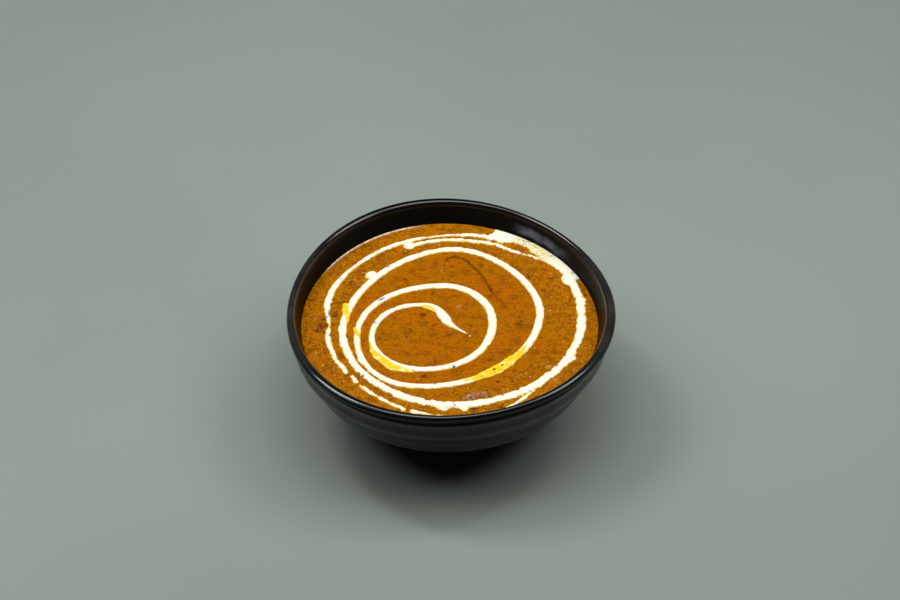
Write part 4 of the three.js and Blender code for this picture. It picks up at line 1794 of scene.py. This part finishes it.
@dataclass
class Crumbs:
    """Small loose things spread over the open curry."""

    host: Piece
    kind: Scattering
    lump_scale: float = 900.0
    lump_share: float = 0.5
    turn_seed: int = 5
    length_seed: int = 9

    def scatter_tree(self) -> Growth:
        """A node tree that lays flattened, uneven balls on the open faces of its mesh.

        Returns:
            The tree, with inputs for density, seed, sizes, flatness, length, sinking and finish.
        """
        floats = ("Density", "Smallest", "Largest", "Flatness", "Length", "Sink")
        g = Growth(self.kind.name + "_scatter", dict.fromkeys(floats, "Float") | {"Seed": "Int"})
        given = g.given
        room = g.add("GeometryNodeInputNamedAttribute", {"data_type": "FLOAT"}, Name=self.kind.layer)
        dense = g.times(given["Density"], room.outputs["Attribute"])
        spread = g.add("GeometryNodeDistributePointsOnFaces", {"distribute_method": "RANDOM"})
        g.fill(spread, {"Mesh": given["Geometry"], "Density": dense, "Seed": given["Seed"]})
        ball = g.add("GeometryNodeMeshIcoSphere", Radius=0.5, Subdivisions=self.kind.detail)
        size = self._drawn(g, given["Smallest"], given["Largest"], given["Seed"])
        turn = self._drawn(g, 0.0, TAU, self.turn_seed)
        stretch = self._drawn(g, 1.0, given["Length"], self.length_seed)
        scale = g.vector("SCALE", g.combine(stretch, 1.0, given["Flatness"]), Scale=size)
        laid = g.add("GeometryNodeInstanceOnPoints", Points=spread.outputs["Points"], Scale=scale)
        g.fill(laid, {"Instance": ball.outputs["Mesh"], "Rotation": g.combine(z=turn)})
        real = g.add("GeometryNodeRealizeInstances", Geometry=laid.outputs[0]).outputs[0]
        place = g.add("GeometryNodeInputPosition").outputs[0]
        bumps = g.add("ShaderNodeTexNoise", Vector=place, Scale=self.lump_scale, Detail=1.0).outputs["Color"]
        lean = g.vector("SUBTRACT", bumps, (0.5, 0.5, 0.5))
        lumpy = g.vector("SCALE", lean, Scale=g.times(given["Largest"], self.lump_share))
        offset = g.vector("ADD", g.combine(z=g.times(given["Sink"], -1.0)), lumpy)
        g.finish(g.add("GeometryNodeSetPosition", Geometry=real, Offset=offset).outputs[0])
        return g

    def _drawn(self, graph: Graph, low: Input, high: Input, seed: Input) -> Socket:
        """A random number for each crumb.

        Args:
            graph: The tree to add to.
            low: The least number.
            high: The greatest number.
            seed: Which draw it is.

        Returns:
            The number's socket.
        """
        draw = graph.add("FunctionNodeRandomValue", {"data_type": "FLOAT"}, _2=low, _3=high, Seed=seed)
        return draw.outputs[1]

    def build(self) -> Piece:
        """Spreads the things and keeps them as one plain mesh.

        Returns:
            The piece.
        """
        kind = self.kind
        settings = {
            "Density": kind.density,
            "Smallest": kind.small * MM,
            "Largest": kind.large * MM,
            "Flatness": kind.flatness,
            "Length": kind.length,
            "Sink": kind.sink * MM,
            "Seed": kind.seed,
            "Finish": kind.finish.build(),
        }
        piece = self.scatter_tree().grow(self.host.data, settings, kind.name)
        place_piece(piece, "curry")
        return piece


LENTIL_BIT = CrumbTone("lentil_bit", (0.200, 0.046, 0.002), (0.370, 0.092, 0.001), sheen=0.10)
HUSK_FLECK = CrumbTone("husk_fleck", (0.045, 0.012, 0.002), (0.120, 0.028, 0.004), sheen=0.15)
PALE_CRUMB = CrumbTone("pale_crumb", (0.62, 0.30, 0.07), (0.50, 0.19, 0.03))
OIL_BEAD = CrumbTone("oil_bead", (0.500, 0.150, 0.001), (0.400, 0.105, 0.001), roughness=0.15, sheen=0.5)
# Pale, diffuse crumbs that stand for tiny specular glints: painted highlights.
PAINTED_GLINT = CrumbTone("painted_glint", (0.98, 0.76, 0.44), (0.90, 0.52, 0.16), roughness=0.2, sheen=0.5)
OUTER = "room_out"
SCATTERINGS = (
    Scattering("lentil_bits", LENTIL_BIT, 30000.0, 0.35, 1.5, 0.36, 2.0, 0.14, detail=2, seed=3),
    Scattering("outer_lentil_bits", LENTIL_BIT, 70000.0, 0.35, 1.7, 0.40, 2.0, 0.14, OUTER, detail=2, seed=4),
    Scattering("husk_flecks", HUSK_FLECK, 6000.0, 0.2, 0.8, 0.35, 3.0, 0.04, detail=1, seed=6),
    Scattering("outer_husk_flecks", HUSK_FLECK, 42000.0, 0.2, 1.0, 0.4, 2.6, 0.04, OUTER, detail=1, seed=8),
    Scattering("pale_crumbs", PALE_CRUMB, 30000.0, 0.2, 0.8, 0.45, 1.8, 0.05, OUTER, detail=1, seed=12),
    Scattering("oil_beads", OIL_BEAD, 24000.0, 0.25, 1.1, 0.30, 1.2, 0.03, detail=2, seed=15),
    Scattering("painted_glints", PAINTED_GLINT, 2200.0, 0.25, 0.55, 0.6, 1.5, 0.0, detail=1, seed=18),
    Scattering("outer_painted_glints", PAINTED_GLINT, 20000.0, 0.25, 0.65, 0.6, 1.5, 0.0, OUTER, detail=1, seed=19),
)


@dataclass
class PouredCream:
    """The cream: spiral, strands, spots and pool, run together in one layer."""

    curry: Curry
    finish: CreamTone = CreamTone()
    height: float = 0.85
    shoulder: float = 1.25
    blend: float = 0.55
    pool_blend: float = 0.5
    drop_blend: float = 0.1
    strand_steps: int = 80
    crevice_steps: int = 60
    calm: Stretch = Stretch(80.0, 94.0, 158.0, 168.0)
    calm_share: float = 0.6
    outer_from: Pair = (44.0, 54.0)
    bulges: tuple[tuple[Ripple, float, float], ...] = (
        (Ripple(5.0, 31), 0.11, 0.34),
        (Ripple(2.2, 33), 0.045, 0.22),
        (Ripple(1.0, 35), 0.02, 0.17),
    )
    nibbles: tuple[tuple[Ripple, float, float], ...] = (
        (Ripple(3.2, 37), 0.10, 1.05),
        (Ripple(1.7, 39), 0.06, 0.75),
    )
    bite_depths: Pair = (0.5, 1.4)
    into_wall: float = 0.05
    lowest: float = 0.12
    skin_share: float = 0.5
    rim_drop: float = 0.2
    wall_climb: float = 0.25
    wall_width: float = 1.6
    top_ripples: tuple[Ripple, ...] = (Ripple(3.6, 41, 0.07), Ripple(1.4, 44, 0.03))
    sunk: float = 0.7
    grey_tone: float = 0.85
    grey_share: float = 0.95
    grey_break: Ripple = Ripple(0.9, 43, 0.5)
    grey_edge: Pair = (0.05, 0.95)
    halo_tone: float = 0.8
    halo_size: Pair = (2.2, 0.8)
    halo_edge: Pair = (0.0, 0.9)
    cool_tone: float = 0.9
    cool_edge: Pair = (0.0, 0.8)
    cool_share: float = 0.7
    cool_break: Ripple = Ripple(3.0, 45, 0.6)
    # Where the cream's edge by the back right wall gets painted shade.
    wall_line: Pair = (67.2, 68.3)
    wall_bearings: Stretch = Stretch(20.0, 28.0, 66.0, 73.0)
    tint_line: Pair = (61.0, 63.0)
    tint_bearings: Stretch = Stretch(38.0, 44.0, 58.0, 63.5)
    crevice: Points = (
        (-44.8, -23.1, 0.6), (-42.8, -28.2, 0.75), (-39.8, -32.7, 0.8), (-34.9, -38.3, 0.8),
        (-29.9, -42.4, 0.75), (-24.9, -44.9, 0.6),
    )
    bites: Points = (
        (17.4, -19.0, 1.6, 1.2, 40), (-26.9, 7.8, 2.0, 1.3, 40), (-12.4, 59.6, 1.4, 1.3, 0),
        (-40.2, -38.6, 1.5, 1.0, 20), (1.4, -32.4, 1.2, 1.4, 0),
    )
    greys: Points = (
        (-26.9, 7.8, 2.6, 2.0, 40), (-28.6, 6.4, 1.4, 1.2, 40), (-32.9, 13.0, 4.2, 1.7, 30),
        (-37.2, -1.0, 1.6, 2.4, 60), (-35.9, -2.9, 1.8, 2.6, 60), (-30.1, 36.3, 1.6, 1.2, 0),
        (-43.0, 20.7, 1.3, 1.0, 0), (-52.8, 27.4, 1.2, 1.0, 0), (-35.1, 48.3, 1.3, 1.0, 0),
        (-39.8, -37.9, 1.5, 1.1, 0), (-7.2, -43.2, 2.0, 1.2, 0), (1.4, -31.9, 1.2, 1.2, 0),
        (58.7, 31.5, 1.2, 1.2, 0), (-12.2, 58.9, 1.2, 1.0, 0), (-14.0, 58.5, 1.2, 1.0, 0),
        (35.8, -47.9, 1.6, 1.0, 20), (1.6, -56.6, 0.8, 2.4, 25), (-57.0, 3.4, 4.6, 1.6, 100),
        (-56.0, -11.6, 1.6, 1.4, 0), (35.3, 55.6, 1.0, 0.8, 0), (38.0, 54.6, 0.9, 0.9, 0),
        (49.1, 44.0, 1.6, 1.0, 0), (36.4, 53.6, 0.8, 0.8, 0), (-58.5, 0.9, 1.2, 3.0, 60),
    )
    drops: Points = (
        (8.8, -11.7, 1.3, 1.1, 0), (6.3, -9.6, 1.0, 0.8, 0), (-15.4, -62.2, 1.0, 0.9, 0),
    )
    cools: Points = (
        (-57.8, 13.5, 4.5, 3.0, 90), (-54.5, 24.0, 4.0, 2.0, 70), (26.5, 57.5, 5.0, 3.0, -25),
        (31.0, 56.5, 4.0, 2.4, -25), (60.0, 26.5, 4.0, 3.0, 120), (-20.0, 52.2, 3.0, 2.0, 0),
        (-2.0, -58.0, 4.0, 2.2, -10), (54.6, -27.0, 3.6, 2.4, 60), (-50.4, -13.0, 5.0, 1.4, 95),
    )

    def sheet(self) -> Sheet:
        """Pours every band, spot and the pool on one grid.

        Returns:
            The sheet.
        """
        plan, form = self.curry.plan, self.curry.form
        sheet = Sheet()
        sheet.pour_band(plan.spiral(), self.blend)
        for strand in plan.strands:
            sheet.pour_band(through(strand, self.strand_steps), self.blend)
        for spot in plan.spots:
            sheet.pour_spot(spot, self.blend)
        edge = form.inside_radius(self.curry.level + self.curry.rise)
        sheet.merge(np.clip(plan.pool(sheet.x, sheet.y), sheet.empty, None), self.pool_blend)
        radius, bearing = form.polar(sheet.x, sheet.y)
        calm = self.calm.share(np.degrees(bearing))
        outer = ease(*self.outer_from, radius) * (1.0 - self.calm_share * calm)
        for ripple, inner_amount, outer_amount in self.bulges:
            sheet.ragged(ripple, inner_amount + outer_amount * outer)
        for ripple, inner_amount, outer_amount in self.nibbles:
            sheet.bite(ripple, inner_amount + outer_amount * outer)
        sheet.part(through(self.crevice, self.crevice_steps))
        shallow, deep = self.bite_depths
        for spot in self.bites:
            share = Mark(*spot).share(sheet.x, sheet.y)
            sheet.depth = np.where(share > 0.0, np.minimum(sheet.depth, shallow - deep * share), sheet.depth)
        for drop in self.drops:
            sheet.pour_spot(drop, self.drop_blend)
        sheet.keep_inside(form.lobed(edge + self.into_wall, bearing) - radius)
        return sheet

    def top(self, x: Array, y: Array, depth: Array) -> Array:
        """Height of the cream's top.

        Args:
            x: Places to the right.
            y: Places to the back.
            depth: How deep inside the outline they lie.

        Returns:
            The heights.
        """
        level, form = self.curry.level, self.curry.form
        radius, bearing = form.polar(x, y)
        from_wall = form.lobed(form.inside_radius(level + self.curry.rise), bearing) - radius
        reach = np.clip(depth / self.shoulder, 0.0, 1.0)
        round_top = np.sqrt(1.0 - (1.0 - reach) ** 2)
        climb = self.wall_climb * np.clip(1.0 - from_wall / self.wall_width, 0.0, 1.0)
        ripple = sum(ripple.at(x, y) for ripple in self.top_ripples) * reach
        skin = level + self.lowest + self.curry.relief(x, y) * self.skin_share
        return skin + (self.height - self.rim_drop) * round_top + ripple + climb

    def build(self, sheet: Sheet) -> Piece:
        """Makes the cream's piece.

        Args:
            sheet: Its poured outline.

        Returns:
            The piece.
        """
        vertices, faces, depth = sheet.mesh(self.curry.level - self.sunk, self.top)
        x, y = vertices[:, 0], vertices[:, 1]
        grey = np.zeros(len(x))
        cool = np.zeros(len(x))
        grow, margin = self.halo_size
        for spot in self.greys:
            share = Mark(*spot).share(x, y) * (self.grey_share + self.grey_break.at(x, y))
            grey += self.grey_tone * ease(*self.grey_edge, share)
            halo = Mark(spot[0], spot[1], grow * spot[2] + margin, grow * spot[3] + margin, spot[4])
            cool += self.halo_tone * ease(*self.halo_edge, halo.share(x, y))
        for spot in self.cools:
            cool += self.cool_tone * ease(*self.cool_edge, Mark(*spot).share(x, y))
        radius, bearing = self.curry.form.polar(x, y)
        degrees = np.degrees(bearing)
        tint = self.tint_bearings.share(degrees) * ease(*self.tint_line, radius)
        # Painted shade: a cooler, bluer tone along the cream's edge by the back right wall.
        by_wall = ease(*self.wall_line, radius) * self.wall_bearings.share(degrees)
        cool += self.cool_tone * by_wall * (self.cool_share + self.cool_break.at(x, y))
        tones = {"grey": grey, "cool": cool, "tint": tint}
        values = {"depth": depth} | {label: np.clip(tone, 0.0, 1.0) for label, tone in tones.items()}
        piece = make_piece("poured_cream", vertices, faces, self.finish.build(), values)
        place_piece(piece, "cream")
        return piece


@dataclass
class MeltedButter:
    """The butter that has melted over the cream."""

    curry: Curry
    finish: ButterTone = ButterTone()
    film: float = 0.07
    edge_drop: float = 0.05
    sunk: float = 0.5
    blend: float = 0.4
    strand_steps: int = 40
    bulges: tuple[Ripple, ...] = (Ripple(3.0, 51, 0.45), Ripple(1.2, 53, 0.22))
    film_edge: Pair = (0.0, 0.5)
    speck_edge: Pair = (0.0, 0.7)
    blend_edge: Pair = (0.8, 0.0)
    blend_under: Pair = (0.2, 0.9)
    specks: Points = (
        (23.4, -31.4, 1.5, 0.8, 55), (19.7, -34.1, 1.5, 1.3, 20), (27.4, -27.5, 0.9, 0.6, 0),
    )

    def sheet(self) -> Sheet:
        """Pours every streak on one grid.

        Returns:
            The sheet.
        """
        sheet = Sheet()
        for strand in self.curry.plan.butter:
            sheet.pour_band(through(strand, self.strand_steps), self.blend)
        for ripple in self.bulges:
            sheet.ragged(ripple, 1.0)
        return sheet

    def build(self, sheet: Sheet, cream: PouredCream, under: Sheet) -> Piece:
        """Makes the butter's piece, as a film that follows the cream where it lies on it.

        Args:
            sheet: The butter's poured outline.
            cream: The cream that it lies on.
            under: The cream's poured outline.

        Returns:
            The piece.
        """

        def top(x: Array, y: Array, depth: Array) -> Array:
            """Height of the butter's top."""
            both = np.maximum(under.depth_at(x, y), 0.0) + np.maximum(depth, 0.0)
            return cream.top(x, y, both) + (self.film * ease(*self.film_edge, depth) - self.edge_drop)

        vertices, faces, depth = sheet.mesh(self.curry.level - self.sunk, top)
        x, y = vertices[:, 0], vertices[:, 1]
        grey = np.zeros(len(x))
        for spot in self.specks:
            grey += ease(*self.speck_edge, Mark(*spot).share(x, y))
        blend = ease(*self.blend_edge, depth) * ease(*self.blend_under, under.depth_at(x, y))
        values = {"depth": depth, "grey": np.clip(grey, 0.0, 1.0), "blend": blend}
        piece = make_piece("melted_butter", vertices, faces, self.finish.build(), values)
        place_piece(piece, "butter")
        return piece


@dataclass
class KidneyBean:
    """A kidney bean that breaks the curry's surface: a bowed, blunt-ended, wrinkled ball."""

    name: str
    node: str
    at: tuple[float, float]
    length: float
    width: float
    depth: float
    showing: float
    bearing: float
    bend: float = 0.022
    blunt: float = 0.82
    level: float = 46.4
    around: int = 96
    down: int = 64
    skin: float = 0.12
    lumps: tuple[Ripple, ...] = (Ripple(2.2, 61, 0.16), Ripple(0.9, 63, 0.10))
    lump_lean: float = 3.0
    collar_at: float = 0.80
    collar_width: float = 0.28
    clear_edge: Pair = (1.3, 1.0)
    film_sway: Ripple = Ripple(2.6, 65, 0.35)
    film_edge: Pair = (-0.15, 0.40)
    finish: BeanSkin = BeanSkin()

    def _size(self, x: Array, y: Array) -> Array:
        """How far out from the bean's middle points lie: 1 is its outline."""
        along, across = turned(x, y, self.at, self.bearing)
        return np.hypot(along / (self.length / 2), (across + self.bend * along**2) / (self.width / 2))

    def collar(self, x: Array, y: Array) -> Array:
        """How far the gravy climbs beside the bean, from 0 to 1."""
        return np.exp(-(((self._size(x, y) - self.collar_at) / self.collar_width) ** 2))

    def inside(self, x: Array, y: Array) -> Array:
        """1 over the bean and close to it, 0 elsewhere."""
        return ease(*self.clear_edge, self._size(x, y))

    def build(self) -> Piece:
        """Makes the bean's piece.

        Returns:
            The piece.
        """
        theta, phi = np.meshgrid(
            np.linspace(0, math.pi, self.down + 1)[1:-1],
            np.arange(self.around) / self.around * TAU,
            indexing="ij",
        )
        ball = np.stack([np.cos(theta), np.sin(theta) * np.cos(phi), np.sin(theta) * np.sin(phi)], axis=-1)
        ball = np.vstack([[[1.0, 0.0, 0.0]], ball.reshape(-1, 3), [[-1.0, 0.0, 0.0]]])
        size = np.array([self.length, self.width, self.depth]) / 2
        blunt = np.sign(ball[:, 0]) * np.abs(ball[:, 0]) ** self.blunt
        place = np.stack([blunt, ball[:, 1], ball[:, 2]], axis=1)
        side = place[:, 1] * size[1] + place[:, 2] * self.lump_lean
        lumps = sum(ripple.at(place[:, 0] * size[0], side) for ripple in self.lumps)
        place = place * size - ball * (self.skin - lumps)[:, None]
        place[:, 1] -= self.bend * place[:, 0] ** 2
        turn = math.radians(self.bearing)
        x = self.at[0] + place[:, 0] * math.cos(turn) - place[:, 1] * math.sin(turn)
        y = self.at[1] + place[:, 0] * math.sin(turn) + place[:, 1] * math.cos(turn)
        z = self.level + self.showing - self.depth / 2 + place[:, 2]
        film = 1.0 - ease(*self.film_edge, z - self.level + self.film_sway.at(x, y))
        faces = ring_faces(self.around, self.down - 1)
        vertices = np.stack([x, y, z], axis=1)
        piece = make_piece(self.name, vertices, faces, self.finish.build(self.name), {"film": film})
        face_outwards(piece)
        place_piece(piece, "bean", self.node)
        return piece


# ---------------------------------------------------------------- the studio


@dataclass(frozen=True)
class SoftBox:
    """A soft light that faces the bowl.

    Attributes:
        name: Its name.
        azimuth: Degrees from +X.
        elevation: Degrees above the floor.
        distance: From the middle of the bowl's mouth.
        width: Its width.
        height: Its height.
        radiance: How bright its face looks.
    """

    name: str
    azimuth: float
    elevation: float
    distance: float
    width: float
    height: float
    radiance: float

    def build(self, mouth: float) -> None:
        """Makes the light.

        Args:
            mouth: Height of the bowl's mouth.
        """
        light = bpy.data.lights.new(self.name, "AREA")
        light.shape = "RECTANGLE"
        light.size, light.size_y = self.width * MM, self.height * MM
        light.energy = self.radiance * math.pi * light.size * light.size_y
        a, e = math.radians(self.azimuth), math.radians(self.elevation)
        away = Vector((math.cos(a) * math.cos(e), math.sin(a) * math.cos(e), math.sin(e)))
        lamp = bpy.data.objects.new(self.name, light)
        lamp.location = away * self.distance * MM + Vector((0, 0, mouth * MM))
        lamp.rotation_mode = "QUATERNION"
        lamp.rotation_quaternion = away.to_track_quat("Z", "Y")
        bpy.context.scene.collection.objects.link(lamp)


@dataclass
class Studio:
    """A plain pale floor, soft boxes and the camera."""

    form: BowlForm
    floor: Colour = (0.225, 0.268, 0.228)
    floor_half: float = 6.0
    floor_cloud: Fleck = Fleck(Noise(3.0, 3.0, 0.5), Span(0.35, 0.65))
    floor_shade: float = 0.93
    floor_roughness: float = 0.75
    elevation: float = 42.6
    distance: float = 850.0
    focal: float = 73.24
    sensor: float = 36.0
    clip: Pair = (0.05, 20.0)
    aim_right: float = 0.583
    aim_back: float = 1.592
    room: float = 0.012
    boxes: tuple[SoftBox, ...] = (
        SoftBox("left_box", 180, 50, 1100, 460, 380, 4.5),
        SoftBox("right_box", 0, 50, 1100, 460, 380, 4.5),
        SoftBox("back_left_strip", 152, 60, 1100, 110, 330, 32.0),
        SoftBox("back_right_strip", 28, 60, 1100, 110, 330, 16.5),
        SoftBox("top_box", 90, 86, 1100, 640, 440, 5.1),
        SoftBox("ceiling", 90, 88, 1200, 2200, 1000, 1.0),
    )

    def build(self) -> None:
        """Makes the floor, the room's dimness, the lights and the camera."""
        self._floor()
        self._room()
        for box in self.boxes:
            box.build(self.form.height)
        self._camera()

    def _floor(self) -> None:
        """A wide plain floor with a faint unevenness of tone."""
        mesh = bpy.data.meshes.new("floor")
        half = self.floor_half
        corners = [(-half, -half, 0), (half, -half, 0), (half, half, 0), (-half, half, 0)]
        mesh.from_pydata(corners, [], [(0, 1, 2, 3)])
        floor = bpy.data.objects.new("floor", mesh)
        bpy.context.scene.collection.objects.link(floor)
        coat = Coat("floor")
        darker = tuple(c * self.floor_shade for c in self.floor)
        tone = coat.mix(coat.fleck(coat.where, self.floor_cloud), self.floor, darker)
        mesh.materials.append(coat.finish(Base_Color=tone, Roughness=self.floor_roughness))

    def _room(self) -> None:
        """The dim room beyond the lights."""
        world = bpy.data.worlds.new("room")
        bpy.context.scene.world = world
        world.use_nodes = True
        world.node_tree.nodes["Background"].inputs[0].default_value = (1.0, 1.0, 1.0, 1.0)
        world.node_tree.nodes["Background"].inputs[1].default_value = self.room
        bpy.context.scene.view_settings.view_transform = "Standard"

    def _camera(self) -> None:
        """The camera, in front and above."""
        data = bpy.data.cameras.new("camera")
        data.lens, data.sensor_width = self.focal, self.sensor
        data.clip_start, data.clip_end = self.clip
        e = math.radians(self.elevation)
        back = Vector((0.0, -math.cos(e), math.sin(e)))
        right, depth = self.form.axis[0] + self.aim_right, self.form.axis[1] + self.aim_back
        aim = Vector((right, depth, self.form.height))
        camera = bpy.data.objects.new("camera", data)
        camera.location = (aim + back * self.distance) * MM
        camera.rotation_mode = "QUATERNION"
        camera.rotation_quaternion = back.to_track_quat("Z", "Y")
        bpy.context.scene.collection.objects.link(camera)
        bpy.context.scene.camera = camera


# ---------------------------------------------------------------- everything in order


def main() -> None:
    """Builds the bowl, the curry and what lies on it, then the studio."""
    logging.basicConfig(level=logging.INFO, format="%(name)s: %(message)s")
    form = BowlForm()
    plan = PourPlan(form)
    Bowl(form).build()
    front_bean = KidneyBean(
        name="front_bean",
        node="kidney_bean_front",
        at=(10.9, -50.1),
        length=14.4,
        width=5.8,
        depth=5.6,
        showing=1.35,
        bearing=12.0,
    )
    left_bean = KidneyBean(
        name="left_bean",
        node="kidney_bean_left",
        at=(-60.6, -5.6),
        length=9.6,
        width=4.8,
        depth=4.8,
        showing=0.9,
        bearing=78.0,
        finish=RED_SKIN,
    )
    beans = (front_bean, left_bean)
    curry = Curry(form, plan)
    cream, butter = PouredCream(curry), MeltedButter(curry)
    cream_sheet, butter_sheet = cream.sheet(), butter.sheet()
    covered = Sheet()
    covered.depth = np.maximum(cream_sheet.depth, butter_sheet.depth)
    body = curry.build(curry.lentils(plan.bands(), beans), beans, covered)
    for kind in SCATTERINGS:
        Crumbs(body, kind).build()
    cream.build(cream_sheet)
    butter.build(butter_sheet, cream, cream_sheet)
    for bean in beans:
        bean.build()
    Studio(form).build()


if __name__ == "__main__":
    main()
